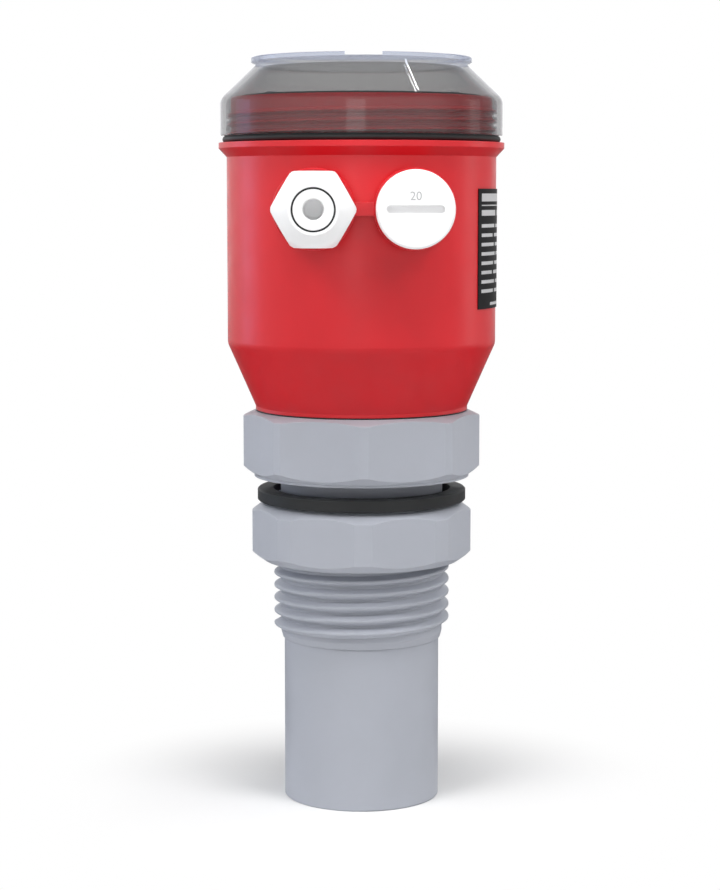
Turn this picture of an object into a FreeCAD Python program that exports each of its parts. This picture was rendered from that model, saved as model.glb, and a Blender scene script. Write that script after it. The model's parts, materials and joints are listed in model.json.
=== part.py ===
"""Ultrasonic level sensor: a red housing under a screwed clear lid, on a grey threaded probe body.

The origin is the centre of the sensing face at the probe's lower end, +Z runs up the probe's axis
and the two cable entries face -Y. Sizes are millimetres, and each one that can be set by itself
stands once in the sheet named Dim. Radii and heights that follow from them are the expressions
after the tables.
"""
import FreeCAD, Part
import math
import os

import Sketcher
from FreeCAD import Placement, Rotation, Vector

DOC = FreeCAD.newDocument("UltrasonicLevelSensor")
DIM = DOC.addObject("Spreadsheet::Sheet", "Dim")

PROBE = {
    "tube_r": (26.85, "probe tube, outside radius"),
    "tube_wall": (3.0, "probe tube, wall"),
    "tube_edge": (0.4, "rounding at the lower end"),
    "face_wall": (2.5, "sensing wall that closes the lower end"),
    "tube_top": (56.2, "where the tube meets the threaded stem"),
    "stem_step": (1.15, "how far the threaded stem stands out of the tube"),
    "stem_lead": (2.1, "height of the stem's lower bevel"),
    "thread_height": (2.4, "height of the coarse thread over the stem"),
    "thread_pitch": (4.44, "pitch of the coarse thread"),
    "ridge_half": (1.95, "half the height of one ridge at its root"),
    "ridge_land": (0.42, "half the height of a ridge at its crest"),
    "ridge_round": (0.6, "rounding of a crest"),
    "thread_rise": (4.7, "centre of the first ridge above the tube, on the -X side"),
    "thread_relief": (7.3, "plain stem between the thread and the collar"),
    "thread_gap": (0.2, "clearance between the coarse threads"),
    "collar_z": (112.6, "seating face under the collar"),
    "collar_in": (1.2, "how far the turned disc stays inside the octagon's flats"),
    "collar_disc": (0.8, "height of the turned disc under the octagon"),
    "octagon_wall": (10.3, "upper octagon, from the stem to its flats"),
    "octagon_core": (5.0, "solid ring of the octagon round the stem"),
    "octagon_corner": (2.5, "how far the turned corners stand out of the flats"),
    "octagon_height": (21.8, "height of the upper octagon"),
    "octagon_low": (2.6, "height of its lower bevel"),
    "octagon_low_in": (1.3, "how far the lower bevel reaches inside the flats"),
    "octagon_top": (1.9, "height of its upper bevel"),
    "octagon_top_in": (1.6, "how far the upper bevel reaches inside the flats"),
    "spigot_step": (3.5, "how far the neck into the housing stays inside the stem"),
    "spigot_wall": (3.5, "wall of the neck"),
    "spigot_height": (15.5, "neck above the octagon"),
}

CLAMP = {
    "nut_drop": (8.55, "lock nut below the collar"),
    "nut_height": (20.55, "height of the lock nut"),
    "nut_wall": (5.7, "lock nut, from the thread to its flats"),
    "nut_corner": (1.8, "how far the turned corners stand out of the flats"),
    "nut_low": (2.8, "height of its lower bevel"),
    "nut_low_in": (2.2, "how far the lower bevel reaches inside the flats"),
    "nut_top": (3.7, "height of its upper bevel"),
    "nut_top_in": (3.1, "how far the upper bevel reaches inside the flats"),
    "nut_bite": (1.0, "how far the nut's ridge reaches inside the stem's crest"),
    "nut_ridge": (1.3, "half the height of the nut's ridge at its root"),
    "nut_land": (0.25, "half the height of the nut's ridge at its crest"),
    "gasket_width": (5.6, "flange gasket, from the thread to its outside"),
    "gasket_height": (4.25, "flange gasket, height"),
    "gasket_gap": (0.25, "clearance of the gasket over the thread"),
    "gasket_edge": (0.45, "bevel of the gasket's outer edges"),
}

HOUSING = {
    "body_r": (46.0, "housing, outside radius"),
    "housing_wall": (3.0, "wall of the housing"),
    "seal_height": (0.5, "body gasket between the octagon and the housing"),
    "seal_inset": (0.3, "body gasket, from the foot's edge"),
    "foot_inset": (1.8, "foot of the housing, inside the octagon's flats"),
    "foot_lip": (1.2, "height of the foot's lip"),
    "floor_wall": (4.0, "floor of the housing"),
    "floor_gap": (0.3, "clearance round the probe's neck in the floor"),
    "cone_height": (21.6, "height of the cone above the lip"),
    "cone_round": (5.0, "rounding where the cone meets the body"),
    "body_height": (63.2, "straight body above the cone"),
    "flare_height": (2.9, "height of the flare"),
    "flange_out": (2.7, "how far the flange stands out of the body"),
    "flange_height": (1.9, "height of the flange's edge"),
    "neck_step": (1.5, "how far the neck stays inside the body"),
    "neck_height": (15.2, "neck above the flange"),
    "neck_wall": (3.0, "wall of the neck"),
    "ledge_drop": (2.7, "ledge that carries the panel, below the neck's top"),
    "ledge_width": (1.8, "ledge that carries the panel, width"),
    "ledge_height": (3.0, "ledge that carries the panel, height"),
    "lid_pitch": (3.18, "pitch of the lid's thread"),
    "neck_lead": (2.8, "first ridge above the flange, on the -X side"),
    "neck_relief": (3.6, "plain neck above the thread"),
    "neck_tooth": (1.4, "height of the neck's thread"),
    "neck_ridge": (0.9, "half the height of the neck's ridge at its root"),
    "neck_land": (0.2, "half the height of the neck's ridge at its crest"),
    "ring_nut_width": (3.5, "ring nut that holds the probe body, width"),
    "ring_nut_height": (7.0, "ring nut that holds the probe body, height"),
    "ring_nut_gap": (0.15, "clearance of the ring nut on the neck"),
    "ring_nut_edge": (0.6, "bevel of the ring nut"),
    "ring_nut_slots": (6, "wrench slots round the ring nut"),
    "ring_slot_depth": (1.5, "wrench slots, depth"),
    "ring_slot_width": (4.0, "wrench slots, width"),
    "post_inset": (2.7, "posts of the panel, from the display board's edge"),
    "post_angle": (34.7, "posts of the panel, angle from the X axis"),
    "post_r": (3.6, "posts of the panel, radius"),
    "post_web": (2.4, "web between a post and the wall"),
    "stud_gap": (0.5, "posts of the main board, from the ring nut"),
    "stud_angle": (14.0, "posts of the main board, angle from the X axis"),
    "stud_height": (28.7, "posts of the main board, above the floor"),
    "stud_r": (2.6, "posts of the main board, radius"),
}

ENTRY = {
    "entry_x": (16.3, "cable entries, from the middle along X"),
    "entry_drop": (22.1, "cable entries, below the flange's top"),
    "entry_r": (10.1, "bore through the bosses"),
    "boss_out": (4.0, "how far the bosses stand out of the body"),
    "boss_wall": (3.17, "wall of the bosses"),
    "boss_edge": (0.6, "rounding of the bosses' front edge"),
    "bridge_height": (4.4, "bar between the bosses"),
    "bridge_back": (0.9, "how far the bar stands behind the bosses"),
    "shank_gap": (0.15, "clearance of a shank in its bore"),
    "shank_length": (12.0, "shank behind the boss"),
    "washer_height": (1.2, "sealing washers"),
    "washer_width": (2.1, "sealing washers, width"),
    "hex_wall": (1.9, "gland's hexagons, from the entry's bore to their flats"),
    "hex_height": (5.5, "fixed hexagon of the gland"),
    "hex_edge": (1.1, "rounding of the hexagons' corners"),
    "nozzle_step": (0.8, "how far the gland body inside the dome nut stays inside the bore"),
    "nozzle_length": (7.3, "gland body inside the dome nut, length"),
    "finger_step": (1.0, "how far the clamping fingers stay inside it"),
    "finger_wall": (1.65, "clamping fingers, wall"),
    "finger_length": (6.0, "clamping fingers, length"),
    "finger_slots": (8, "slots between the fingers"),
    "finger_slot": (1.0, "width of a slot between the fingers"),
    "dome_gap": (0.6, "dome nut above the fixed hexagon"),
    "dome_length": (17.7, "dome nut, length"),
    "dome_corner": (1.45, "how far its turned corners stand out of the flats"),
    "dome_shoulder": (8.3, "straight part of the dome nut"),
    "dome_waist": (0.2, "how far the dome stands out of the flats at its nose"),
    "dome_nose": (3.6, "length of the dome's nose"),
    "dome_round": (8.0, "rounding of the dome"),
    "dome_clear": (0.2, "clearance of the dome nut on the gland body"),
    "dome_face": (1.0, "width of the dome's front face"),
    "mouth_gap": (0.45, "mouth of the dome nut, round the insert"),
    "mouth_length": (3.0, "mouth of the dome nut, length"),
    "insert_gap": (0.1, "clearance of the rubber insert in the fingers"),
    "insert_in": (1.7, "inner end of the rubber insert inside the dome nut"),
    "insert_set": (0.1, "insert behind the dome's front face"),
    "insert_edge": (0.3, "rounding of the insert's outer edge"),
    "insert_lip": (0.5, "rounding of the cable hole"),
    "insert_hole": (3.25, "cable hole in the rubber insert"),
    "plug_brim": (2.6, "how far the plug's head stands out of the bore"),
    "plug_height": (4.8, "plug head, height"),
    "plug_edge": (0.9, "rounding of the plug head"),
    "plug_shank": (9.0, "plug shank behind the boss"),
    "plug_wall": (2.35, "wall of the plug's shank"),
    "plug_core": (1.0, "hollow of the plug inside its head"),
    "slot_length": (18.4, "coin slot, length"),
    "slot_width": (2.4, "coin slot, width"),
    "slot_depth": (1.6, "coin slot, depth"),
}

LID = {
    "oring_half": (1.15, "lid seal, radius of its section"),
    "oring_gap": (0.6, "lid seal, from the neck"),
    "lid_gap": (0.3, "clearance of the skirt over the neck's thread"),
    "skirt_wall": (1.9, "skirt of the lid, wall"),
    "skirt_drop": (0.9, "end of the straight skirt, below the neck's top"),
    "skirt_edge": (0.5, "rounding of the skirt's lower edge"),
    "shoulder_in": (1.2, "start of the lid's cone, inside the skirt"),
    "shoulder_rise": (1.6, "start of the lid's cone, above the skirt"),
    "shoulder_round": (4.0, "rounding of the lid's shoulder"),
    "cone_run": (10.9, "how far the lid's cone runs inwards"),
    "cone_rise": (10.3, "height of the lid's cone"),
    "cone_wall": (1.9, "cone of the lid, horizontal thickness"),
    "rim_out": (1.6, "raised rim of the lid, outside the cone's end"),
    "rim_neck": (0.8, "underside of the rim above the cone's end"),
    "rim_height": (1.7, "height of the raised rim"),
    "rim_wall": (2.6, "raised rim, width"),
    "disc_drop": (1.15, "how far the top disc lies below the rim"),
    "disc_wall": (1.9, "top disc, thickness"),
    "notch_width": (12.2, "notches in the rim"),
    "lid_turns": (2.0, "turns inside the lid"),
    "lid_bite": (1.1, "height of the ridge inside the lid"),
    "lid_ridge": (0.6, "half the height of the lid's ridge at its root"),
    "lid_land": (0.3, "half the height of the lid's ridge at its crest"),
}

INSIDE = {
    "layer_inset": (3.85, "matching layer, inside the tube's bore"),
    "layer_height": (2.6, "matching layer, height"),
    "piezo_inset": (2.0, "ceramic disc, inside the matching layer's edge"),
    "piezo_height": (4.0, "ceramic disc, height"),
    "foam_gap": (0.25, "clearance of the foam in the tube"),
    "foam_top": (22.0, "top of the absorbing foam"),
    "potting_top": (60.0, "top of the potting"),
    "lead_r": (1.6, "transducer lead, radius"),
    "lead_bore": (1.9, "bore for the lead"),
    "lead_x": (12.0, "where the lead meets the main board"),
    "board_wall": (1.6, "thickness of the boards"),
    "main_gap": (2.0, "main board, from the housing's wall"),
    "main_hole": (1.3, "main board, holes over its posts"),
    "post_clear": (0.9, "clearance of the main board round the posts"),
    "block_width": (41.0, "terminal block, width"),
    "block_depth": (11.0, "terminal block, depth"),
    "block_height": (12.5, "terminal block, height"),
    "block_inset": (10.5, "front of the terminal block, from the board's edge"),
    "poles": (8, "poles of the terminal block"),
    "pole_pitch": (5.0, "pitch of the poles"),
    "pole_r": (1.95, "screw wells"),
    "pole_gap": (0.15, "clearance of a clamp screw in its well"),
    "pole_entry": (3.2, "wire entries, width"),
    "pole_slot": (0.6, "slot of a clamp screw, width"),
    "pole_slot_depth": (0.8, "slot of a clamp screw, depth"),
    "panel_gap": (0.3, "clearance of the front panel in the neck"),
    "panel_wall": (2.0, "front panel, thickness"),
    "panel_edge": (0.4, "rounding of the front panel"),
    "spacer_height": (4.0, "spacers between the panel and its board"),
    "spacer_step": (0.4, "how far a spacer stays inside its post"),
    "display_gap": (0.5, "clearance of the display board in the ledge"),
    "window_width": (38.0, "display window, width"),
    "window_depth": (21.0, "display window, depth"),
    "window_y": (3.0, "display window, centre along Y"),
    "window_edge": (0.8, "rounding of the window's corners"),
    "glass_gap": (0.3, "clearance of the display in its window"),
    "glass_set": (1.4, "display glass below the panel's face"),
    "frame_width": (44.0, "display frame, width"),
    "frame_depth": (27.0, "display frame, depth"),
    "frame_gap": (1.0, "display frame below the panel"),
    "screw_r": (1.45, "panel screws, shank radius"),
    "screw_hole": (1.65, "panel screws, clearance holes"),
    "screw_head": (2.7, "panel screws, head radius"),
    "screw_rise": (1.9, "panel screws, head height"),
    "screw_length": (14.0, "panel screws, shank length"),
    "key_count": (3, "keys on the panel"),
    "key_pitch": (5.1, "pitch of the keys"),
    "key_inset": (11.2, "keys, from the panel's front edge"),
    "key_r": (1.95, "keys, radius"),
    "key_gap": (0.2, "clearance of a key in the panel"),
    "key_rise": (1.8, "keys above the panel at rest"),
    "key_flange": (2.4, "collar of a key under the panel, radius"),
    "key_collar": (1.0, "collar of a key under the panel, height"),
    "key_play": (0.1, "clearance over the collar of a key"),
    "key_lift": (0.6, "key above its switch at rest"),
    "switch_side": (4.4, "key switches, side"),
    "switch_height": (1.6, "key switches, height"),
    "plunger_r": (0.9, "plunger of a key switch"),
    "label_rise": (12.5, "lower edge of the label, above the cone"),
    "label_height": (40.0, "label, height"),
    "label_angle": (68.0, "label, angle round the axis"),
    "label_wall": (0.35, "label, thickness"),
}

BOARD = {
    "case_edge": (0.8, "rounding of the components' cases"),
    "transformer_width": (18.0, "transformer, along X"),
    "transformer_depth": (15.0, "transformer, along Y"),
    "transformer_height": (13.0, "transformer, height"),
    "transformer_x": (-12.0, "transformer, place along X"),
    "transformer_y": (9.0, "transformer, place along Y"),
    "relay_width": (12.0, "relay, along X"),
    "relay_depth": (20.0, "relay, along Y"),
    "relay_height": (15.0, "relay, height"),
    "relay_x": (8.0, "relay, place along X"),
    "relay_y": (10.0, "relay, place along Y"),
    "ribbon_header_width": (5.0, "header of the ribbon cable, along X"),
    "ribbon_header_depth": (16.0, "header of the ribbon cable, along Y"),
    "ribbon_header_height": (6.25, "header of the ribbon cable, height"),
    "header_inset": (16.6, "header of the ribbon cable, from the board's edge"),
    "header_y": (6.0, "header of the ribbon cable, place along Y"),
    "ribbon_width": (14.0, "ribbon cable, width"),
    "ribbon_wall": (0.9, "ribbon cable, thickness"),
    "ribbon_end": (10.0, "straight ends of the ribbon cable"),
    "ribbon_bow": (6.0, "how far the ribbon cable bows out"),
    "ribbon_bend": (25.0, "bend radius of the ribbon cable"),
    "can_r": (5.0, "capacitors, radius"),
    "can_height": (16.0, "capacitors, height"),
    "can_edge": (0.6, "rounding of the capacitors"),
    "can_x": (8.0, "capacitors, from the middle along X"),
    "can_y": (-8.0, "capacitors, place along Y"),
}

MAKING = {
    "over": (1.0, "how far a cut runs past the face that it opens"),
    "root": (0.3, "how far a ridge or web is rooted in its wall"),
}

# Radii of the probe body and of what is threaded on it
TUBE_BORE = "(Dim.tube_r - Dim.tube_wall)"
STEM_R = "(Dim.tube_r + Dim.stem_step)"
THREAD_R = f"({STEM_R} + Dim.thread_height)"
OCTAGON_HALF = f"({STEM_R} + Dim.octagon_wall)"
SPIGOT_R = f"({STEM_R} - Dim.spigot_step)"
NUT_HALF = f"({THREAD_R} + Dim.nut_wall)"

# Heights along the probe body, up to the housing's underside
THREAD_LOW = "(Dim.tube_top + Dim.thread_rise)"
NUT_LOW = "(Dim.collar_z - Dim.nut_drop - Dim.nut_height)"
NUT_TOP = "(Dim.collar_z - Dim.nut_drop)"
OCTAGON_LOW = "(Dim.collar_z + Dim.collar_disc)"
OCTAGON_TOP = f"({OCTAGON_LOW} + Dim.octagon_height)"
FOOT = f"({OCTAGON_TOP} + Dim.seal_height)"

# Heights of the housing
FLOOR = f"({FOOT} + Dim.floor_wall)"
CONE_LOW = f"({FOOT} + Dim.foot_lip)"
CONE_TOP = f"({CONE_LOW} + Dim.cone_height)"
FLARE_LOW = f"({CONE_TOP} + Dim.body_height)"
FLANGE_TOP = f"({FLARE_LOW} + Dim.flare_height + Dim.flange_height)"
NECK_TOP = f"({FLANGE_TOP} + Dim.neck_height)"
NECK_THREAD = f"({FLANGE_TOP} + Dim.neck_lead)"
LEDGE = f"({NECK_TOP} - Dim.ledge_drop)"
ENTRY_Z = f"({FLANGE_TOP} - Dim.entry_drop)"
MAIN_LOW = f"({FLOOR} + Dim.stud_height)"
MAIN_TOP = f"({MAIN_LOW} + Dim.board_wall)"
PANEL_TOP = f"({LEDGE} + Dim.panel_wall)"
DISPLAY_TOP = f"({LEDGE} - Dim.spacer_height)"
DISPLAY_LOW = f"({DISPLAY_TOP} - Dim.board_wall)"
KEY_LOW = f"({LEDGE} - Dim.key_play - Dim.key_collar)"

# Radii of the housing and of what fits in it
FOOT_R = f"({OCTAGON_HALF} - Dim.foot_inset)"
INNER_R = "(Dim.body_r - Dim.housing_wall)"
NECK_R = "(Dim.body_r - Dim.neck_step)"
NECK_BORE = f"({NECK_R} - Dim.neck_wall)"
NECK_CREST = f"({NECK_R} + Dim.neck_tooth)"
LEDGE_BORE = f"({NECK_BORE} - Dim.ledge_width)"
PANEL_R = f"({NECK_BORE} - Dim.panel_gap)"
DISPLAY_R = f"({LEDGE_BORE} - Dim.display_gap)"
MAIN_R = f"({INNER_R} - Dim.main_gap)"
RING_NUT_R = f"({SPIGOT_R} + Dim.ring_nut_width)"
POST_X = f"(({DISPLAY_R} - Dim.post_inset) * cos(Dim.post_angle))"
POST_Y = f"(({DISPLAY_R} - Dim.post_inset) * sin(Dim.post_angle))"
STUD_X = f"(({RING_NUT_R} + Dim.stud_gap + Dim.stud_r) * cos(Dim.stud_angle))"
STUD_Y = f"(({RING_NUT_R} + Dim.stud_gap + Dim.stud_r) * sin(Dim.stud_angle))"
HEADER_X = f"({MAIN_R} - Dim.header_inset)"
BLOCK_FRONT = f"({MAIN_R} - Dim.block_inset)"
BLOCK_MIDDLE = f"(Dim.block_depth / 2 - {BLOCK_FRONT})"
FIRST_POLE = "(-Dim.pole_pitch * (Dim.poles - 1) / 2)"
KEY_Y = f"(Dim.key_inset - {PANEL_R})"

# The cable entries and what is screwed into them, along an entry's own axis
BOSS_FACE = "(Dim.body_r + Dim.boss_out)"
SHANK_R = "(Dim.entry_r - Dim.shank_gap)"
HEX_HALF = "(Dim.entry_r + Dim.hex_wall)"
HEX_TOP = "(Dim.washer_height + Dim.hex_height)"
NOZZLE_R = "(Dim.entry_r - Dim.nozzle_step)"
NOZZLE_TOP = f"({HEX_TOP} + Dim.nozzle_length)"
FINGER_R = f"({NOZZLE_R} - Dim.finger_step)"
INSERT_R = f"({FINGER_R} - Dim.finger_wall - Dim.insert_gap)"
MOUTH_R = f"({INSERT_R} + Dim.mouth_gap)"
DOME_LOW = f"({HEX_TOP} + Dim.dome_gap)"
DOME_TOP = f"({DOME_LOW} + Dim.dome_length)"

# The lid
LID_LOW = f"({FLANGE_TOP} + Dim.oring_half * 2)"
SKIRT_BORE = f"({NECK_CREST} + Dim.lid_gap)"
SKIRT_R = f"({SKIRT_BORE} + Dim.skirt_wall)"
SKIRT_TOP = f"({NECK_TOP} - Dim.skirt_drop)"
SHOULDER_R = f"({SKIRT_R} - Dim.shoulder_in)"
SHOULDER_Z = f"({SKIRT_TOP} + Dim.shoulder_rise)"
CROWN_R = f"({SHOULDER_R} - Dim.cone_run)"
CROWN_Z = f"({SHOULDER_Z} + Dim.cone_rise)"
RIM_R = f"({CROWN_R} + Dim.rim_out)"
RIM_LOW = f"({CROWN_Z} + Dim.rim_neck)"
RIM_TOP = f"({RIM_LOW} + Dim.rim_height)"
DISC_TOP = f"({RIM_TOP} - Dim.disc_drop)"


def fill_sheet():
    """Writes every size into the sheet under its own alias."""
    row = 1
    for group in (PROBE, CLAMP, HOUSING, ENTRY, LID, INSIDE, BOARD, MAKING):
        for alias, (size, meaning) in group.items():
            DIM.set(f"A{row}", meaning)
            DIM.set(f"B{row}", str(size))
            DIM.setAlias(f"B{row}", alias)
            row += 1
    DOC.recompute()


def value(expression):
    """The number that an expression of the sheet's sizes gives."""
    return float(DIM.evalExpression(expression))


def origin_of(body, role):
    """The plane or axis of a body's own origin that has this role."""
    return next(item for item in body.Origin.OriginFeatures if item.Role == role)


def new_body(name):
    """A new part body whose label names its file."""
    body = DOC.addObject("PartDesign::Body", "Body_" + name)
    body.Label = name
    return body


def new_sketch(body, name, plane="XZ_Plane", offset="0", turn=0):
    """A sketch on one of the body's planes, moved along its normal and turned about its own Y."""
    made = body.newObject("Sketcher::SketchObject", f"{body.Label}_{name}")
    made.AttachmentSupport = [(origin_of(body, plane), "")]
    made.MapMode = "FlatFace"
    made.AttachmentOffset = Placement(Vector(0, 0, 0), Rotation(Vector(0, 1, 0), turn))
    made.setExpression("AttachmentOffset.Base.z", offset)
    return made


def constrain(drawing, rules):
    """Adds constraints, each (constraint, expression or None), and binds the ones with a size."""
    numbers = drawing.addConstraint([rule for rule, expression in rules])
    for number, (rule, expression) in zip(numbers, rules):
        if expression is not None:
            drawing.setExpression(f"Constraints[{number}]", expression)


def pin_point(shape, place, across, up):
    """Rules that hold one point of a sketch at two distances from the sketch's origin."""
    return [
        (Sketcher.Constraint("DistanceX", -1, 1, shape, place, value(across)), across),
        (Sketcher.Constraint("DistanceY", -1, 1, shape, place, value(up)), up),
    ]


def outline(drawing, corners, closed=True):
    """Draws straight sides through corners, each (across, up) or (across, up, rounding)."""
    points = [Vector(value(corner[0]), value(corner[1]), 0) for corner in corners]
    count = len(points)
    enters, leaves, bends = list(points), list(points), {}
    for i, corner in enumerate(corners):
        if len(corner) == 3:
            back = (points[i - 1] - points[i]).normalize()
            onward = (points[(i + 1) % count] - points[i]).normalize()
            half = back.getAngle(onward) / 2
            radius = value(corner[2])
            enters[i] = points[i] + back * (radius / math.tan(half))
            leaves[i] = points[i] + onward * (radius / math.tan(half))
            middle = points[i] + (back + onward).normalize() * (radius / math.sin(half) - radius)
            bends[i] = Part.Arc(enters[i], middle, leaves[i])
    ends = [(i, (i + 1) % count) for i in range(count if closed else count - 1)]
    sides = drawing.addGeometry([Part.LineSegment(leaves[i], enters[k]) for i, k in ends], False)
    before = {k: side for (i, k), side in zip(ends, sides)}
    after = {i: side for (i, k), side in zip(ends, sides)}
    rules = []
    for i, corner in enumerate(corners):
        if i in bends:
            arc = drawing.addGeometry(bends[i], False)
            mark = drawing.addGeometry(Part.Point(points[i]), True)
            near = 1 if drawing.getPoint(arc, 1).distanceToPoint(enters[i]) < 1e-6 else 2
            rules += [
                (Sketcher.Constraint("Tangent", before[i], 2, arc, near), None),
                (Sketcher.Constraint("Tangent", arc, 3 - near, after[i], 1), None),
                (Sketcher.Constraint("Radius", arc, value(corner[2])), corner[2]),
                (Sketcher.Constraint("PointOnObject", mark, 1, before[i]), None),
                (Sketcher.Constraint("PointOnObject", mark, 1, after[i]), None),
            ]
            rules += pin_point(mark, 1, corner[0], corner[1])
            continue
        if i in before and i in after:
            rules.append((Sketcher.Constraint("Coincident", before[i], 2, after[i], 1), None))
        if i in after:
            rules += pin_point(after[i], 1, corner[0], corner[1])
        else:
            rules += pin_point(before[i], 2, corner[0], corner[1])
    constrain(drawing, rules)


def circle(drawing, radius, across="0", up="0"):
    """Draws a circle of a radius about a centre."""
    centre = Vector(value(across), value(up), 0)
    ring = drawing.addGeometry(Part.Circle(centre, Vector(0, 0, 1), value(radius)), False)
    rules = [(Sketcher.Constraint("Radius", ring, value(radius)), radius)]
    constrain(drawing, rules + pin_point(ring, 3, across, up))


def rectangle(drawing, width, height, across="0", up="0", rounding=None):
    """Draws a rectangle about a centre."""
    corners = []
    for side, rise in ((-1, -1), (1, -1), (1, 1), (-1, 1)):
        corner = (f"{across} + ({width}) / 2 * {side}", f"{up} + ({height}) / 2 * {rise}")
        corners.append(corner if rounding is None else corner + (rounding,))
    outline(drawing, corners)


def polygon(drawing, count, flats, rounding=None):
    """Draws a regular polygon by its width across flats, with one corner on the sketch's +X."""
    corners = []
    for i in range(count):
        reach = f"{flats} / 2 / cos({180 / count})"
        corner = (f"{reach} * cos({360 / count * i})", f"{reach} * sin({360 / count * i})")
        corners.append(corner if rounding is None else corner + (rounding,))
    outline(drawing, corners)


def feature(body, kind, name, profile, **bound):
    """A sketch-based feature whose named properties follow expressions."""
    made = body.newObject("PartDesign::" + kind, f"{body.Label}_{name}")
    made.Profile = profile
    if kind in ("Revolution", "Groove", "AdditiveHelix", "SubtractiveHelix"):
        made.ReferenceAxis = (profile, ["V_Axis"])
    for key, expression in bound.items():
        made.setExpression(key, expression)
    return made


def turned(body, name, corners, kind="Revolution"):
    """A full turn of an outline about the body's Z axis, added or cut."""
    drawing = new_sketch(body, name + "_outline")
    outline(drawing, corners)
    made = feature(body, kind, name, drawing)
    made.Angle = 360
    return made


def raised(body, name, low, height, draw, kind="Pad"):
    """A pad, or a pocket, that runs up from a height over what draw puts in its sketch."""
    drawing = new_sketch(body, name + "_outline", "XY_Plane", low)
    draw(drawing)
    made = feature(body, kind, name, drawing, Length=height)
    made.Reversed = kind == "Pocket"
    return made


def helix(body, kind, name, corners, pitch, turns):
    """A right-handed ridge or groove whose outline starts on the -X side."""
    drawing = new_sketch(body, name + "_outline", "XZ_Plane", turn=180)
    outline(drawing, corners)
    DOC.recompute()
    made = feature(body, kind, name, drawing)
    made.Mode = "pitch-turns-angle"
    made.setExpression("Pitch", pitch)
    made.setExpression("Turns", turns)
    return made


def around(body, name, originals, count):
    """A polar pattern of features about the body's Z axis."""
    made = body.newObject("PartDesign::PolarPattern", f"{body.Label}_{name}")
    made.Originals = originals
    made.Axis = (origin_of(body, "Z_Axis"), [""])
    made.Angle = 360
    made.setExpression("Occurrences", count)
    body.Tip = made
    return made


def edges_of(body, test):
    """Names of the edges at the body's tip that pass a test."""
    DOC.recompute()
    return [f"Edge{i + 1}" for i, edge in enumerate(body.Tip.Shape.Edges) if test(edge)]


def dress(body, kind, name, size, test):
    """Rounds or bevels the edges of the body's tip that pass a test."""
    edges = edges_of(body, test)
    base = body.Tip
    made = body.newObject("PartDesign::" + kind, f"{body.Label}_{name}")
    made.Base = (base, edges)
    made.setExpression("Radius" if kind == "Fillet" else "Size", size)
    return made


def is_ring(edge, radius, height):
    """Whether an edge is a level circle of this radius at this height."""
    if not isinstance(edge.Curve, Part.Circle):
        return False
    level = abs(edge.Curve.Center.z - height) < 0.01
    return level and abs(edge.Curve.Radius - radius) < 0.01


def blank_corners(radius, low, low_r, low_bevel, top, top_r, top_bevel):
    """Outline of what is turned off a polygon blank outside its two bevels."""
    outer = f"({radius}) * 1.1"
    return [
        (outer, f"{low} - {low_bevel}"),
        (low_r, f"{low} - {low_bevel}"),
        (low_r, low),
        (radius, f"{low} + {low_bevel}"),
        (radius, f"{top} - {top_bevel}"),
        (top_r, top),
        (top_r, f"{top} + {top_bevel}"),
        (outer, f"{top} + {top_bevel}"),
    ]


def make_sensor_body():
    """One moulded piece: probe tube, threaded stem, octagon and the neck into the housing."""
    body = new_body("sensor_body")
    core = f"{STEM_R} + Dim.octagon_core"
    neck_bore = f"{SPIGOT_R} - Dim.spigot_wall"

    def octagon(drawing):
        polygon(drawing, 8, f"{OCTAGON_HALF} * 2")
        circle(drawing, f"{STEM_R} + Dim.over")

    raised(body, "octagon", OCTAGON_LOW, "Dim.octagon_height", octagon)
    turned(body, "turned_corners", blank_corners(
        f"{OCTAGON_HALF} + Dim.octagon_corner",
        OCTAGON_LOW, f"{OCTAGON_HALF} - Dim.octagon_low_in", "Dim.octagon_low",
        OCTAGON_TOP, f"{OCTAGON_HALF} - Dim.octagon_top_in", "Dim.octagon_top"), "Groove")
    turned(body, "stem", [
        ("0", "0"),
        ("Dim.tube_r", "0", "Dim.tube_edge"),
        ("Dim.tube_r", "Dim.tube_top"),
        ("Dim.tube_r + Dim.stem_step / 2", "Dim.tube_top"),
        (STEM_R, "Dim.tube_top + Dim.stem_lead"),
        (STEM_R, "Dim.collar_z"),
        (f"{OCTAGON_HALF} - Dim.collar_in", "Dim.collar_z"),
        (f"{OCTAGON_HALF} - Dim.collar_in", OCTAGON_LOW),
        (core, OCTAGON_LOW),
        (core, OCTAGON_TOP),
        (SPIGOT_R, OCTAGON_TOP),
        (SPIGOT_R, f"{OCTAGON_TOP} + Dim.spigot_height"),
        (neck_bore, f"{OCTAGON_TOP} + Dim.spigot_height"),
        (neck_bore, f"{OCTAGON_LOW} + Dim.octagon_height / 2"),
        (TUBE_BORE, OCTAGON_LOW),
        (TUBE_BORE, "Dim.face_wall"),
        ("0", "Dim.face_wall"),
    ])
    turns = f"(Dim.collar_z - Dim.thread_relief - {THREAD_LOW}) / Dim.thread_pitch"
    helix(body, "AdditiveHelix", "thread", ridge_corners(
        f"{STEM_R} - Dim.root", THREAD_R, THREAD_LOW, "Dim.ridge_half", "Dim.ridge_land", "Dim.ridge_round"),
        "Dim.thread_pitch", turns)
    return body


def ridge_corners(root, crest, height, half, land, rounding):
    """Outline of a ridge that tapers from its root to a narrow rounded crest."""
    return [
        (root, f"{height} - {half}"),
        (crest, f"{height} - {land}", rounding),
        (crest, f"{height} + {land}", rounding),
        (root, f"{height} + {half}"),
    ]


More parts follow.
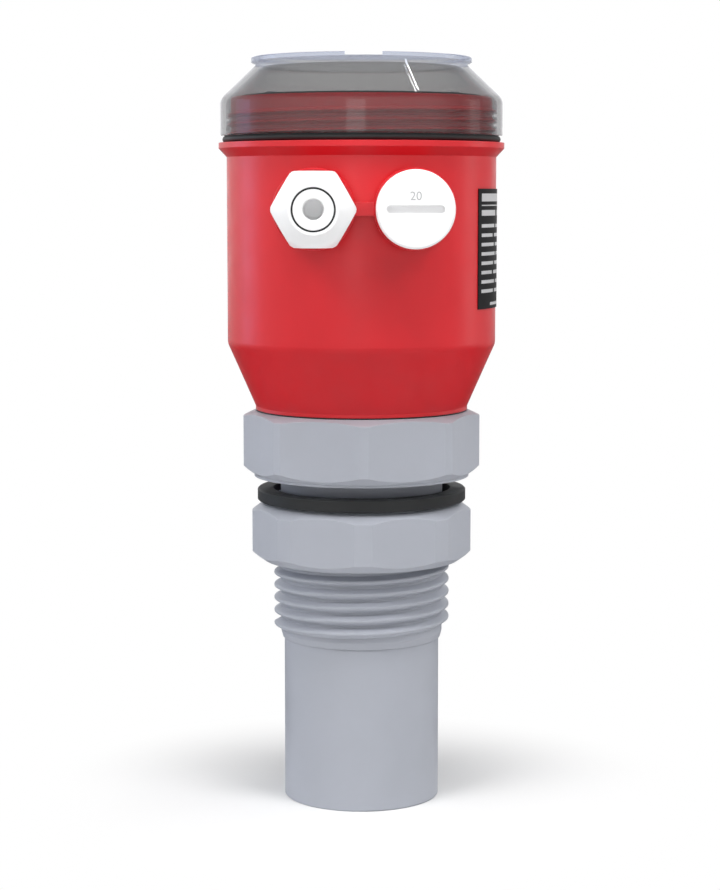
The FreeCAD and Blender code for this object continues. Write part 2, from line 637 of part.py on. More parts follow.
def make_lock_nut():
    """Octagon nut that clamps the tank's wall against the collar."""
    body = new_body("lock_nut")
    bore = f"{THREAD_R} + Dim.thread_gap"

    def ring(drawing):
        polygon(drawing, 8, f"{NUT_HALF} * 2")
        circle(drawing, bore)

    raised(body, "octagon", NUT_LOW, "Dim.nut_height", ring)
    turned(body, "turned_corners", blank_corners(
        f"{NUT_HALF} + Dim.nut_corner",
        NUT_LOW, f"{NUT_HALF} - Dim.nut_low_in", "Dim.nut_low",
        NUT_TOP, f"{NUT_HALF} - Dim.nut_top_in", "Dim.nut_top"), "Groove")
    rise = f"({NUT_LOW} + Dim.nut_ridge - {THREAD_LOW}) / Dim.thread_pitch"
    start = f"({THREAD_LOW} + (ceil({rise}) + 0.5) * Dim.thread_pitch)"
    helix(body, "AdditiveHelix", "thread", tooth_corners(
        f"{THREAD_R} - Dim.nut_bite", f"{bore} + Dim.root", start, "Dim.nut_land", "Dim.nut_ridge"),
        "Dim.thread_pitch", f"({NUT_TOP} - Dim.nut_ridge - {start}) / Dim.thread_pitch")
    return body


def tooth_corners(crest, root, height, land, half):
    """Outline of a tapered ridge between its root and a narrow flat crest."""
    return [
        (crest, f"{height} - {land}"),
        (root, f"{height} - {half}"),
        (root, f"{height} + {half}"),
        (crest, f"{height} + {land}"),
    ]


def make_flange_gasket():
    """Flat rubber ring that lies on the lock nut, under the tank's wall."""
    body = new_body("flange_gasket")
    bore = f"{THREAD_R} + Dim.gasket_gap"
    outer = f"{THREAD_R} + Dim.gasket_width"
    top = f"{NUT_TOP} + Dim.gasket_height"
    turned(body, "ring", [
        (bore, NUT_TOP),
        (f"{outer} - Dim.gasket_edge", NUT_TOP),
        (outer, f"{NUT_TOP} + Dim.gasket_edge"),
        (outer, f"{top} - Dim.gasket_edge"),
        (f"{outer} - Dim.gasket_edge", top),
        (bore, top),
    ])
    return body


def make_body_gasket():
    """Thin seal between the octagon and the housing's foot."""
    body = new_body("body_gasket")
    bore = f"{SPIGOT_R} + Dim.floor_gap"
    outer = f"{FOOT_R} - Dim.seal_inset"
    turned(body, "ring", [
        (bore, OCTAGON_TOP),
        (outer, OCTAGON_TOP),
        (outer, FOOT),
        (bore, FOOT),
    ])
    return body


def four_places(across, up):
    """Two expressions for each of the four mirrored places round the axis."""
    signs = ((1, 1), (-1, 1), (-1, -1), (1, -1))
    return [(f"{across} * {side}", f"{up} * {rise}") for side, rise in signs]


def make_housing():
    """Moulded red cup with a conical foot, two cable bosses, a threaded neck and inner posts."""
    body = new_body("housing")
    flange_r = "Dim.body_r + Dim.flange_out"
    turned(body, "outside", [
        ("0", FOOT),
        (FOOT_R, FOOT),
        (FOOT_R, CONE_LOW),
        ("Dim.body_r", CONE_TOP, "Dim.cone_round"),
        ("Dim.body_r", FLARE_LOW),
        (flange_r, f"{FLARE_LOW} + Dim.flare_height"),
        (flange_r, FLANGE_TOP),
        (NECK_R, FLANGE_TOP),
        (NECK_R, NECK_TOP, "Dim.neck_land * 2"),
        ("0", NECK_TOP),
    ])
    add_bosses(body)
    ledge_low = f"{LEDGE} - Dim.ledge_height"
    turned(body, "inside", [
        ("0", FLOOR),
        (f"{FOOT_R} - Dim.housing_wall", FLOOR),
        (INNER_R, f"{CONE_TOP} + Dim.housing_wall / 2", "Dim.cone_round"),
        (INNER_R, f"{ledge_low} - ({INNER_R} - {LEDGE_BORE})"),
        (LEDGE_BORE, ledge_low),
        (LEDGE_BORE, LEDGE),
        (NECK_BORE, LEDGE),
        (NECK_BORE, f"{NECK_TOP} + Dim.over"),
        ("0", f"{NECK_TOP} + Dim.over"),
    ], "Groove")
    add_posts(body)
    cut_entries(body)
    turns = "(Dim.neck_height - Dim.neck_lead - Dim.neck_relief) / Dim.lid_pitch"
    helix(body, "AdditiveHelix", "thread", tooth_corners(
        NECK_CREST, f"{NECK_R} - Dim.root", NECK_THREAD, "Dim.neck_land", "Dim.neck_ridge"),
        "Dim.lid_pitch", turns)
    return body


def add_bosses(body):
    """Two round bosses on the front and the bar that joins them."""
    faces = new_sketch(body, "bosses_outline", "XZ_Plane", BOSS_FACE)
    for side in (-1, 1):
        circle(faces, "Dim.entry_r + Dim.boss_wall", f"Dim.entry_x * {side}", ENTRY_Z)
    bosses = feature(body, "Pad", "bosses", faces, Length=f"{BOSS_FACE} / 2")
    bosses.Reversed = True
    front = -value(BOSS_FACE)
    dress(body, "Fillet", "boss_edges", "Dim.boss_edge", lambda edge: (
        isinstance(edge.Curve, Part.Circle) and abs(edge.Curve.Center.y - front) < 0.01))
    bar = new_sketch(body, "bar_outline", "XZ_Plane", f"{BOSS_FACE} - Dim.bridge_back")
    rectangle(bar, "Dim.entry_x", "Dim.bridge_height", up=ENTRY_Z)
    joined = feature(body, "Pad", "bar", bar, Length=f"{BOSS_FACE} / 2")
    joined.Reversed = True


def cut_entries(body):
    """Bores through the bosses, and the opening in the floor for the probe body's neck."""
    holes = new_sketch(body, "entries_outline", "XZ_Plane", BOSS_FACE)
    for side in (-1, 1):
        circle(holes, "Dim.entry_r", f"Dim.entry_x * {side}", ENTRY_Z)
    feature(body, "Pocket", "entries", holes, Length=f"{BOSS_FACE} / 2")
    raised(body, "floor_opening", f"{FOOT} - Dim.over", "Dim.floor_wall + Dim.over * 2",
           lambda drawing: circle(drawing, f"{SPIGOT_R} + Dim.floor_gap"), "Pocket")


def add_posts(body):
    """Tall posts for the display board, webbed to the wall, and low posts for the main board."""
    reach = f"(sqrt({INNER_R} * {INNER_R} - {POST_Y} * {POST_Y}) - {POST_X} + Dim.over)"
    post_edge = f"({DISPLAY_R} - Dim.post_inset + Dim.post_r)"
    slope = f"(Dim.cone_height / (Dim.body_r - {FOOT_R}))"
    post_foot = f"({CONE_LOW} + ({post_edge} + Dim.housing_wall / 2 - {FOOT_R}) * {slope})"

    def posts(drawing):
        for across, up in four_places(POST_X, POST_Y):
            circle(drawing, "Dim.post_r", across, up)

    def webs(drawing):
        for across, up in four_places(f"({POST_X} + {reach} / 2)", POST_Y):
            rectangle(drawing, reach, "Dim.post_web", across, up)

    def studs(drawing):
        for across, up in four_places(STUD_X, STUD_Y):
            circle(drawing, "Dim.stud_r", across, up)

    def screw_holes(drawing):
        for across, up in four_places(POST_X, POST_Y):
            circle(drawing, "Dim.screw_hole", across, up)

    raised(body, "posts", post_foot, f"{DISPLAY_LOW} - {post_foot}", posts)
    raised(body, "webs", CONE_TOP, f"{DISPLAY_LOW} - {CONE_TOP} - Dim.post_web", webs)
    raised(body, "studs", f"{FLOOR} - Dim.root", "Dim.stud_height + Dim.root", studs)
    raised(body, "screw_holes", f"{DISPLAY_LOW} - Dim.screw_length", "Dim.screw_length + Dim.over",
           screw_holes, "Pocket")


def make_ring_nut():
    """Slotted ring nut that draws the probe body's neck into the housing's floor."""
    body = new_body("ring_nut")
    top = f"({FLOOR} + Dim.ring_nut_height)"
    bore = f"{SPIGOT_R} + Dim.ring_nut_gap"
    turned(body, "ring", [
        (bore, FLOOR),
        (RING_NUT_R, FLOOR),
        (RING_NUT_R, f"{top} - Dim.ring_nut_edge"),
        (f"{RING_NUT_R} - Dim.ring_nut_edge", top),
        (bore, top),
    ])
    slot = raised(body, "slot", f"{top} - Dim.ring_nut_height / 2", "Dim.ring_nut_height",
                  lambda drawing: rectangle(
                      drawing, "Dim.ring_slot_depth * 2", "Dim.ring_slot_width", RING_NUT_R), "Pocket")
    around(body, "slots", [slot], "Dim.ring_nut_slots")
    return body


def make_lid_gasket():
    """Round-section rubber ring on the flange, under the lid's skirt."""
    body = new_body("lid_gasket")
    drawing = new_sketch(body, "section")
    circle(drawing, "Dim.oring_half", f"{NECK_R} + Dim.oring_gap + Dim.oring_half",
           f"{FLANGE_TOP} + Dim.oring_half")
    ring = feature(body, "Revolution", "ring", drawing)
    ring.Angle = 360
    return body


def make_lid():
    """Clear screwed lid with a conical shoulder and a notched rim round its flat top."""
    body = new_body("lid")
    rim_bore = f"{RIM_R} - Dim.rim_wall"
    ceiling = f"{DISC_TOP} - Dim.disc_wall"
    turned(body, "shell", [
        (SKIRT_BORE, LID_LOW),
        (SKIRT_R, LID_LOW, "Dim.skirt_edge"),
        (SKIRT_R, SKIRT_TOP, "Dim.shoulder_round"),
        (SHOULDER_R, SHOULDER_Z, "Dim.shoulder_round"),
        (CROWN_R, CROWN_Z),
        (RIM_R, RIM_LOW, "Dim.skirt_edge"),
        (RIM_R, RIM_TOP, "Dim.skirt_edge"),
        (rim_bore, RIM_TOP),
        (rim_bore, DISC_TOP),
        ("0", DISC_TOP),
        ("0", ceiling),
        (f"{CROWN_R} - Dim.cone_wall", ceiling, "Dim.shoulder_round"),
        (SKIRT_BORE, SKIRT_TOP, "Dim.shoulder_round"),
    ])
    raised(body, "notches", DISC_TOP, "Dim.disc_drop + Dim.over", lambda drawing: rectangle(
        drawing, "Dim.notch_width", f"({RIM_R} + Dim.over) * 2"), "Pocket")
    helix(body, "AdditiveHelix", "thread", tooth_corners(
        f"{SKIRT_BORE} - Dim.lid_bite", f"{SKIRT_BORE} + Dim.root",
        f"({NECK_THREAD} + Dim.lid_pitch / 2)", "Dim.lid_land", "Dim.lid_ridge"),
        "Dim.lid_pitch", "Dim.lid_turns")
    return body


def place_in_entry(body, side):
    """Lays a body, modelled along its own Z, in the left (-1) or right (1) cable entry."""
    body.Placement = Placement(Vector(0, 0, 0), Rotation(Vector(1, 0, 0), 90))
    body.setExpression("Placement.Base.x", f"Dim.entry_x * {side}")
    body.setExpression("Placement.Base.y", f"-{BOSS_FACE}")
    body.setExpression("Placement.Base.z", ENTRY_Z)
    return body


def make_entry_washer(name, side):
    """Flat sealing washer between a boss and what is screwed into it."""
    body = new_body(name)
    outer = "Dim.entry_r + Dim.washer_width"
    turned(body, "ring", [
        ("Dim.entry_r", "0"),
        (outer, "0"),
        (outer, "Dim.washer_height"),
        ("Dim.entry_r", "Dim.washer_height"),
    ])
    return place_in_entry(body, side)


def make_gland_body():
    """Fixed half of the cable gland: shank, hexagon, nozzle and slotted clamping fingers."""
    body = new_body("gland_body")
    bore = f"{INSERT_R} + Dim.insert_gap"
    finger_top = f"{NOZZLE_TOP} + Dim.finger_length"
    turned(body, "barrel", [
        (bore, "-Dim.shank_length"),
        (SHANK_R, "-Dim.shank_length"),
        (SHANK_R, f"{HEX_TOP} - Dim.over"),
        (NOZZLE_R, f"{HEX_TOP} - Dim.over"),
        (NOZZLE_R, NOZZLE_TOP),
        (FINGER_R, NOZZLE_TOP),
        (FINGER_R, finger_top, "Dim.finger_wall / 2"),
        (bore, finger_top),
    ])

    def hexagon(drawing):
        polygon(drawing, 6, f"{HEX_HALF} * 2", "Dim.hex_edge")
        circle(drawing, f"{bore} + Dim.over")

    raised(body, "hexagon", "Dim.washer_height", "Dim.hex_height", hexagon)
    slot = raised(body, "slot", NOZZLE_TOP, "Dim.finger_length + Dim.over", lambda drawing: rectangle(
        drawing, FINGER_R, "Dim.finger_slot", FINGER_R), "Pocket")
    around(body, "slots", [slot], "Dim.finger_slots")
    return place_in_entry(body, -1)


def make_gland_seal():
    """Rubber insert that grips the cable, flush with the dome nut's mouth."""
    body = new_body("gland_seal")
    end = f"{DOME_TOP} - Dim.insert_set"
    turned(body, "sleeve", [
        ("Dim.insert_hole", f"{DOME_LOW} + Dim.insert_in"),
        (INSERT_R, f"{DOME_LOW} + Dim.insert_in"),
        (INSERT_R, end, "Dim.insert_edge"),
        ("Dim.insert_hole", end, "Dim.insert_lip"),
    ])
    return place_in_entry(body, -1)


def make_gland_nut():
    """Hexagonal dome nut that closes the gland's fingers on the insert."""
    body = new_body("gland_nut")
    blank = f"{HEX_HALF} + Dim.dome_corner"
    outer = f"{HEX_HALF} * 2"
    nose = f"{MOUTH_R} + Dim.dome_face"
    clear = f"{FINGER_R} + Dim.dome_clear * 2"
    below = f"{DOME_LOW} - Dim.over"
    beyond = f"{DOME_TOP} + Dim.over"

    def ring(drawing):
        polygon(drawing, 6, f"{HEX_HALF} * 2", "Dim.hex_edge")
        circle(drawing, MOUTH_R)

    raised(body, "hexagon", DOME_LOW, "Dim.dome_length", ring)
    turned(body, "dome", [
        (blank, below),
        (blank, f"{DOME_LOW} + Dim.dome_shoulder"),
        (f"{HEX_HALF} + Dim.dome_waist", f"{DOME_TOP} - Dim.dome_nose", "Dim.dome_round"),
        (nose, DOME_TOP),
        (nose, beyond),
        (outer, beyond),
        (outer, below),
    ], "Groove")
    turned(body, "bore", [
        ("0", below),
        (f"{NOZZLE_R} + Dim.dome_clear", below),
        (f"{NOZZLE_R} + Dim.dome_clear", f"{NOZZLE_TOP} + Dim.over"),
        (clear, f"{NOZZLE_TOP} + Dim.over * 2"),
        (clear, f"{DOME_TOP} - Dim.mouth_length - Dim.over"),
        (MOUTH_R, f"{DOME_TOP} - Dim.mouth_length"),
        ("0", f"{DOME_TOP} - Dim.mouth_length"),
    ], "Groove")
    return place_in_entry(body, -1)


def make_plug():
    """Blanking plug with a coin slot across its round head."""
    body = new_body("plug")
    low = "Dim.washer_height"
    front = f"({low} + Dim.plug_height)"
    hollow = f"{SHANK_R} - Dim.plug_wall"
    turned(body, "head", [
        ("0", f"{low} + Dim.plug_core"),
        (hollow, f"{low} + Dim.plug_core"),
        (hollow, "-Dim.plug_shank"),
        (SHANK_R, "-Dim.plug_shank"),
        (SHANK_R, low),
        ("Dim.entry_r + Dim.plug_brim", low),
        ("Dim.entry_r + Dim.plug_brim", front, "Dim.plug_edge"),
        ("0", front),
    ])
    raised(body, "slot", f"{front} - Dim.slot_depth", "Dim.slot_depth + Dim.over", lambda drawing: rectangle(
        drawing, "Dim.slot_length", "Dim.slot_width", rounding="Dim.slot_width * 0.48"), "Pocket")
    return place_in_entry(body, 1)


def make_label():
    """Dark plate that follows the housing round its +X side."""
    body = new_body("label_plate")
    low = f"({CONE_TOP} + Dim.label_rise)"
    drawing = new_sketch(body, "outline")
    outline(drawing, [
        ("Dim.body_r", low),
        ("Dim.body_r + Dim.label_wall", low),
        ("Dim.body_r + Dim.label_wall", f"{low} + Dim.label_height"),
        ("Dim.body_r", f"{low} + Dim.label_height"),
    ])
    plate = feature(body, "Revolution", "plate", drawing, Angle="Dim.label_angle")
    plate.Midplane = True
    return body


def make_transducer():
    """The stack behind the sensing wall: matching layer, ceramic disc, foam and potting."""
    layer_top = "(Dim.face_wall + Dim.layer_height)"
    piezo_top = f"({layer_top} + Dim.piezo_height)"
    layer_r = f"({TUBE_BORE} - Dim.layer_inset)"
    piezo_r = f"({layer_r} - Dim.piezo_inset)"
    tube = f"{TUBE_BORE} - Dim.foam_gap"
    layer = new_body("matching_layer")
    raised(layer, "disc", "Dim.face_wall", "Dim.layer_height",
           lambda drawing: circle(drawing, layer_r))
    piezo = new_body("piezo_disc")
    raised(piezo, "disc", layer_top, "Dim.piezo_height",
           lambda drawing: circle(drawing, piezo_r))
    foam = new_body("absorber_foam")
    turned(foam, "cup", [
        (f"{layer_r} + Dim.foam_gap", "Dim.face_wall"),
        (tube, "Dim.face_wall"),
        (tube, "Dim.foam_top"),
        ("Dim.lead_bore", "Dim.foam_top"),
        ("Dim.lead_bore", piezo_top),
        (f"{piezo_r} + Dim.foam_gap", piezo_top),
        (f"{piezo_r} + Dim.foam_gap", layer_top),
        (f"{layer_r} + Dim.foam_gap", layer_top),
    ])
    potting = new_body("potting")
    turned(potting, "fill", [
        ("Dim.lead_bore", "Dim.foam_top"),
        (tube, "Dim.foam_top"),
        (tube, "Dim.potting_top"),
        ("Dim.lead_bore", "Dim.potting_top"),
    ])
    return [layer, piezo, foam, potting]


def bend_points(points):
    """Adds a rounding to each inner point of a route, as large as its two runs allow."""
    places = [Vector(value(across), value(up), 0) for across, up in points]
    bent = [points[0]]
    for before, place, after, point in zip(places, places[1:], places[2:], points[1:]):
        turn = (place - before).getAngle(after - place)
        shorter = min((place - before).Length, (after - place).Length)
        radius = 0.45 * shorter / math.tan(turn / 2)
        print(f"bend radius of the lead {radius:.1f}")
        bent.append(point + (str(radius),))
    return bent + [points[-1]]


def make_lead():
    """Screened lead from the ceramic disc up the probe to the main board."""
    body = new_body("transducer_lead")
    start = "Dim.face_wall + Dim.layer_height + Dim.piezo_height"
    points = [
        ("0", start),
        ("0", "Dim.potting_top + 13"),
        ("6", "Dim.potting_top + 43"),
        ("-4", f"{MAIN_LOW} - 32"),
        ("Dim.lead_x", f"{MAIN_LOW} - 14"),
        ("Dim.lead_x", MAIN_LOW),
    ]
    route = new_sketch(body, "route")
    outline(route, bend_points(points), closed=False)
    section = new_sketch(body, "section", "XY_Plane", start)
    circle(section, "Dim.lead_r")
    DOC.recompute()
    lead = body.newObject("PartDesign::AdditivePipe", "transducer_lead_sweep")
    lead.Profile = section
    lead.Spine = (route, [])
    return body


def make_main_board():
    """Round main board, notched round the housing's posts."""
    body = new_body("main_board")
    notch = "((Dim.post_r + Dim.post_clear) * 2)"
    below = f"{MAIN_LOW} - Dim.over"
    through = "Dim.board_wall + Dim.over * 2"

    def notches(drawing):
        for across, up in four_places(f"(({MAIN_R} + {POST_X}) / 2)", POST_Y):
            rectangle(drawing, f"{MAIN_R} - {POST_X} + {notch}", notch, across, up)

    def holes(drawing):
        for across, up in four_places(STUD_X, STUD_Y):
            circle(drawing, "Dim.main_hole", across, up)

    raised(body, "disc", MAIN_LOW, "Dim.board_wall", lambda drawing: circle(drawing, MAIN_R))
    raised(body, "notches", below, through, notches, "Pocket")
    raised(body, "holes", below, through, holes, "Pocket")
    return body


def make_terminal_block():
    """Row of screw terminals that faces the cable entries."""
    body = new_body("terminal_block")
    raised(body, "case", MAIN_TOP, "Dim.block_height", lambda drawing: rectangle(
        drawing, "Dim.block_width", "Dim.block_depth", up=BLOCK_MIDDLE))
    well = raised(body, "well", f"{MAIN_TOP} + Dim.block_height / 2", "Dim.block_height",
                  lambda drawing: circle(drawing, "Dim.pole_r", FIRST_POLE, BLOCK_MIDDLE), "Pocket")
    entry_face = new_sketch(body, "entry_outline", "XZ_Plane", BLOCK_FRONT)
    rectangle(entry_face, "Dim.pole_entry", "Dim.pole_entry", FIRST_POLE, f"{MAIN_TOP} + Dim.pole_entry")
    entry = feature(body, "Pocket", "entry", entry_face, Length="Dim.block_depth / 2")
    repeat_poles(body, [well, entry])
    return body


def repeat_poles(body, originals):
    """Repeats the features of the first pole along the terminal block."""
    row = body.newObject("PartDesign::LinearPattern", f"{body.Label}_row")
    row.Originals = originals
    row.Direction = (origin_of(body, "X_Axis"), [""])
    row.setExpression("Length", "Dim.pole_pitch * (Dim.poles - 1)")
    row.setExpression("Occurrences", "Dim.poles")
    body.Tip = row


def make_terminal_screws():
    """Slotted clamp screws down in the wells of the terminal block."""
    body = new_body("terminal_screws")
    low = f"{MAIN_TOP} + Dim.block_height / 2"
    height = "Dim.block_height / 4"
    head = raised(body, "head", low, height, lambda drawing: circle(
        drawing, "Dim.pole_r - Dim.pole_gap", FIRST_POLE, BLOCK_MIDDLE))
    slot = raised(body, "slot", f"{low} + {height} - Dim.pole_slot_depth", "Dim.pole_slot_depth + Dim.over",
                  lambda drawing: rectangle(
                      drawing, "Dim.pole_r * 3", "Dim.pole_slot", FIRST_POLE, BLOCK_MIDDLE), "Pocket")
    repeat_poles(body, [head, slot])
    return body


def make_component(name, across, up):
    """A box-shaped component standing on the main board, its sizes named after it."""
    body = new_body(name)
    raised(body, "case", MAIN_TOP, f"Dim.{name}_height", lambda drawing: rectangle(
        drawing, f"Dim.{name}_width", f"Dim.{name}_depth", across, up, "Dim.case_edge"))
    return body


def make_capacitors():
    """Two upright electrolytic capacitors on the main board."""
    body = new_body("capacitors")

    def cans(drawing):
        for side in (-1, 1):
            circle(drawing, "Dim.can_r", f"Dim.can_x * {side}", "Dim.can_y")

    raised(body, "cans", MAIN_TOP, "Dim.can_height", cans)
    radius, rim = value("Dim.can_r"), value(f"{MAIN_TOP} + Dim.can_height")
    dress(body, "Fillet", "rims", "Dim.can_edge", lambda edge: is_ring(edge, radius, rim))
    return body


def make_display():
    """Display board, display with its frame, and the switches under the keys."""
    board = new_body("display_board")
    through = "Dim.board_wall + Dim.over * 2"

    def holes(drawing):
        for across, up in four_places(POST_X, POST_Y):
            circle(drawing, "Dim.screw_hole", across, up)

    raised(board, "disc", DISPLAY_LOW, "Dim.board_wall", lambda drawing: circle(drawing, DISPLAY_R))
    raised(board, "holes", f"{DISPLAY_LOW} - Dim.over", through, holes, "Pocket")
    display = new_body("display_module")
    frame_top = f"({LEDGE} - Dim.frame_gap)"
    raised(display, "frame", DISPLAY_TOP, f"{frame_top} - {DISPLAY_TOP}", lambda drawing: rectangle(
        drawing, "Dim.frame_width", "Dim.frame_depth", up="Dim.window_y"))
    glass_height = f"{PANEL_TOP} - Dim.glass_set - {frame_top}"
    raised(display, "glass", frame_top, glass_height, lambda drawing: rectangle(
        drawing, "Dim.window_width - Dim.glass_gap * 2",
        "Dim.window_depth - Dim.glass_gap * 2", up="Dim.window_y"))
    switches = new_body("key_switches")

    def cases(drawing):
        for i in range(int(value("Dim.key_count"))):
            rectangle(drawing, "Dim.switch_side", "Dim.switch_side", key_x(i), KEY_Y)

    def plungers(drawing):
        for i in range(int(value("Dim.key_count"))):
            circle(drawing, "Dim.plunger_r", key_x(i), KEY_Y)

    raised(switches, "cases", DISPLAY_TOP, "Dim.switch_height", cases)
    raised(switches, "plungers", DISPLAY_TOP, f"{KEY_LOW} - Dim.key_lift - {DISPLAY_TOP}", plungers)
    return [board, display, switches]


def key_x(index):
    """Expression of a key's place along X."""
    return f"Dim.key_pitch * ({index} - (Dim.key_count - 1) / 2)"


def make_panel():
    """Round front panel on the neck's ledge, with the display window and the key holes."""
    body = new_body("front_panel")
    turned(body, "disc", [
        ("0", LEDGE),
        (PANEL_R, LEDGE),
        (PANEL_R, PANEL_TOP, "Dim.panel_edge"),
        ("0", PANEL_TOP),
    ])

    def openings(drawing):
        rectangle(drawing, "Dim.window_width", "Dim.window_depth", up="Dim.window_y",
                  rounding="Dim.window_edge")
        for i in range(int(value("Dim.key_count"))):
            circle(drawing, "Dim.key_r + Dim.key_gap", key_x(i), KEY_Y)
        for across, up in four_places(POST_X, POST_Y):
            circle(drawing, "Dim.screw_hole", across, up)

    raised(body, "openings", f"{LEDGE} - Dim.over", "Dim.panel_wall + Dim.over * 2", openings, "Pocket")
    return body


def make_spacers():
    """Four tubes between the display board and the panel."""
    body = new_body("panel_spacers")

    def tubes(drawing):
        for across, up in four_places(POST_X, POST_Y):
            circle(drawing, "Dim.post_r - Dim.spacer_step", across, up)
            circle(drawing, "Dim.screw_hole", across, up)

    raised(body, "tubes", DISPLAY_TOP, "Dim.spacer_height", tubes)
    return body


def make_panel_screws():
    """Four slotted pan-head screws through the panel into the posts."""
    body = new_body("panel_screws")
    places = four_places(POST_X, POST_Y)
    top = f"({PANEL_TOP} + Dim.screw_rise)"

    def shanks(drawing):
        for across, up in places:
            circle(drawing, "Dim.screw_r", across, up)

    def heads(drawing):
        for across, up in places:
            circle(drawing, "Dim.screw_head", across, up)

    def slots(drawing):
        for across, up in places:
            rectangle(drawing, "Dim.screw_head * 3", "Dim.screw_head / 4", across, up)

    raised(body, "shanks", f"{PANEL_TOP} - Dim.screw_length", "Dim.screw_length", shanks)
    raised(body, "heads", PANEL_TOP, "Dim.screw_rise", heads)
    radius, rim = value("Dim.screw_head"), value(top)
    dress(body, "Fillet", "crowns", "Dim.screw_rise / 2", lambda edge: is_ring(edge, radius, rim))
    raised(body, "slots", f"{top} - Dim.screw_rise / 2", "Dim.screw_rise", slots, "Pocket")
    return body


def make_key(index):
    """One push key with a rounded cap and a collar under the panel."""
    body = new_body(f"key_{index + 1}")
    top = f"{PANEL_TOP} + Dim.key_rise"
    turned(body, "cap", [
        ("0", KEY_LOW),
        ("Dim.key_flange", KEY_LOW),
        ("Dim.key_flange", f"{KEY_LOW} + Dim.key_collar"),
        ("Dim.key_r", f"{KEY_LOW} + Dim.key_collar"),
        ("Dim.key_r", top, "Dim.key_r / 4"),
        ("0", top),
    ])
    body.setExpression("Placement.Base.x", key_x(index))
    body.setExpression("Placement.Base.y", KEY_Y)
    return body


def make_ribbon():
    """Flat ribbon cable that bows out between the two boards."""
    body = new_body("ribbon_cable")
    low = f"({MAIN_TOP} + Dim.ribbon_header_height)"
    near = f"({HEADER_X} - Dim.ribbon_wall / 2)"
    far = f"({HEADER_X} + Dim.ribbon_wall / 2)"
    rise = f"({low} + Dim.ribbon_end)"
    middle = f"(({low} + {DISPLAY_LOW}) / 2)"
    fall = f"({DISPLAY_LOW} - Dim.ribbon_end)"
    tight, wide = "Dim.ribbon_bend", "Dim.ribbon_bend + Dim.ribbon_wall"
    drawing = new_sketch(body, "outline", "XZ_Plane", "-(Dim.header_y + Dim.ribbon_width / 2)")
    outline(drawing, [
        (near, low),
        (far, low),
        (far, rise, tight),
        (f"{far} + Dim.ribbon_bow", middle, wide),
        (far, fall, tight),
        (far, DISPLAY_LOW),
        (near, DISPLAY_LOW),
        (near, fall, wide),
        (f"{near} + Dim.ribbon_bow", middle, tight),
        (near, rise, wide),
    ])
    feature(body, "Pad", "band", drawing, Length="Dim.ribbon_width")
    return body


def make_all():
    """Builds every sub-part and returns their bodies in the order of assembly."""
    bodies = [make_sensor_body(), make_lock_nut(), make_flange_gasket(), make_body_gasket()]
    bodies += [make_housing(), make_ring_nut(), make_lid_gasket(), make_lid()]
    bodies += [make_entry_washer("gland_washer", -1), make_gland_body(), make_gland_seal()]
    bodies += [make_gland_nut(), make_entry_washer("plug_seal", 1), make_plug(), make_label()]
    bodies += make_transducer()
    bodies += [make_lead(), make_main_board(), make_terminal_block(), make_terminal_screws()]
    bodies.append(make_component("transformer", "Dim.transformer_x", "Dim.transformer_y"))
    bodies.append(make_component("relay", "Dim.relay_x", "Dim.relay_y"))
    bodies.append(make_component("ribbon_header", HEADER_X, "Dim.header_y"))
    bodies += [make_capacitors(), make_ribbon()]
    bodies += make_display()
    bodies += [make_panel(), make_spacers(), make_panel_screws()]
    for index in range(int(value("Dim.key_count"))):
        bodies.append(make_key(index))
    return bodies


def check(bodies):
    """Stops unless every object is sound, every cut removes and every addition adds material."""
    for item in DOC.Objects:
        if "Invalid" in item.State or "Error" in item.State:
            raise RuntimeError(f"{item.Label} is {item.State}")
    for body in bodies:
        if body.Shape.isNull() or not body.Shape.isValid() or not body.Shape.Solids:
            raise RuntimeError(f"{body.Label} has no sound shape")
        volume = 0
        for item in body.Group:
            if not item.isDerivedFrom("PartDesign::Feature"):
                continue
            grows = item.TypeId.split("::")[1] in (
                "Pad", "Revolution", "AdditiveHelix", "AdditivePipe")
            shrinks = item.TypeId.split("::")[1] in ("Pocket", "Groove", "SubtractiveHelix")
            change = item.Shape.Volume - volume
            if (grows and change < 0.01) or (shrinks and change > -0.01):
                raise RuntimeError(f"{item.Label} changes the volume by {change:.3f}")
            volume = item.Shape.Volume


def write(bodies):
    """Writes one file for each sub-part."""
    os.makedirs("parts", exist_ok=True)
    for body in bodies:
        body.Shape.exportStep(f"parts/{body.Label}.step")


fill_sheet()
parts = make_all()
DOC.recompute()
check(parts)
write(parts)
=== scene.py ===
"""Dresses the solids of the ultrasonic level sensor and sets its light, floor and camera.

Metres throughout. The probe's sensing face stands on z = 0 and the cable entries face -Y.
"""
import json
import logging
import math
from dataclasses import dataclass
from enum import Enum
from typing import Callable, NamedTuple

import bmesh
import bpy
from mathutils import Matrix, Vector


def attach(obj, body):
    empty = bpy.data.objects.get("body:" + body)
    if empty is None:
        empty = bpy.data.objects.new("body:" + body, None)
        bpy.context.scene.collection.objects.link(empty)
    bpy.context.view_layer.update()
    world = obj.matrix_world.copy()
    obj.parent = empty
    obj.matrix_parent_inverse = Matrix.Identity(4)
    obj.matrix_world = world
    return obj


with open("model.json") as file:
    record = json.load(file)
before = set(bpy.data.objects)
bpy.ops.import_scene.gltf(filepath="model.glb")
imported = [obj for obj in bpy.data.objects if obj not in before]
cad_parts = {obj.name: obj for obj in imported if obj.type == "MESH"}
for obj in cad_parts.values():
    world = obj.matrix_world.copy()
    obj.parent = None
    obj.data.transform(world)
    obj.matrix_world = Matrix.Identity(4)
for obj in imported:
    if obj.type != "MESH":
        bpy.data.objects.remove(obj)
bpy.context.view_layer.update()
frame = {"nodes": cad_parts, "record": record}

LOG = logging.getLogger("sensor")
MM = 0.001
MERGE = 0.002 * MM  # points nearer than this become one
THREAD_STEPS = 64  # steps of one turn of a fine thread
CLOUD = (0.35, 0.65)  # where a cloudy pattern has most of its values
WIDE_CLOUD = (0.3, 0.7)
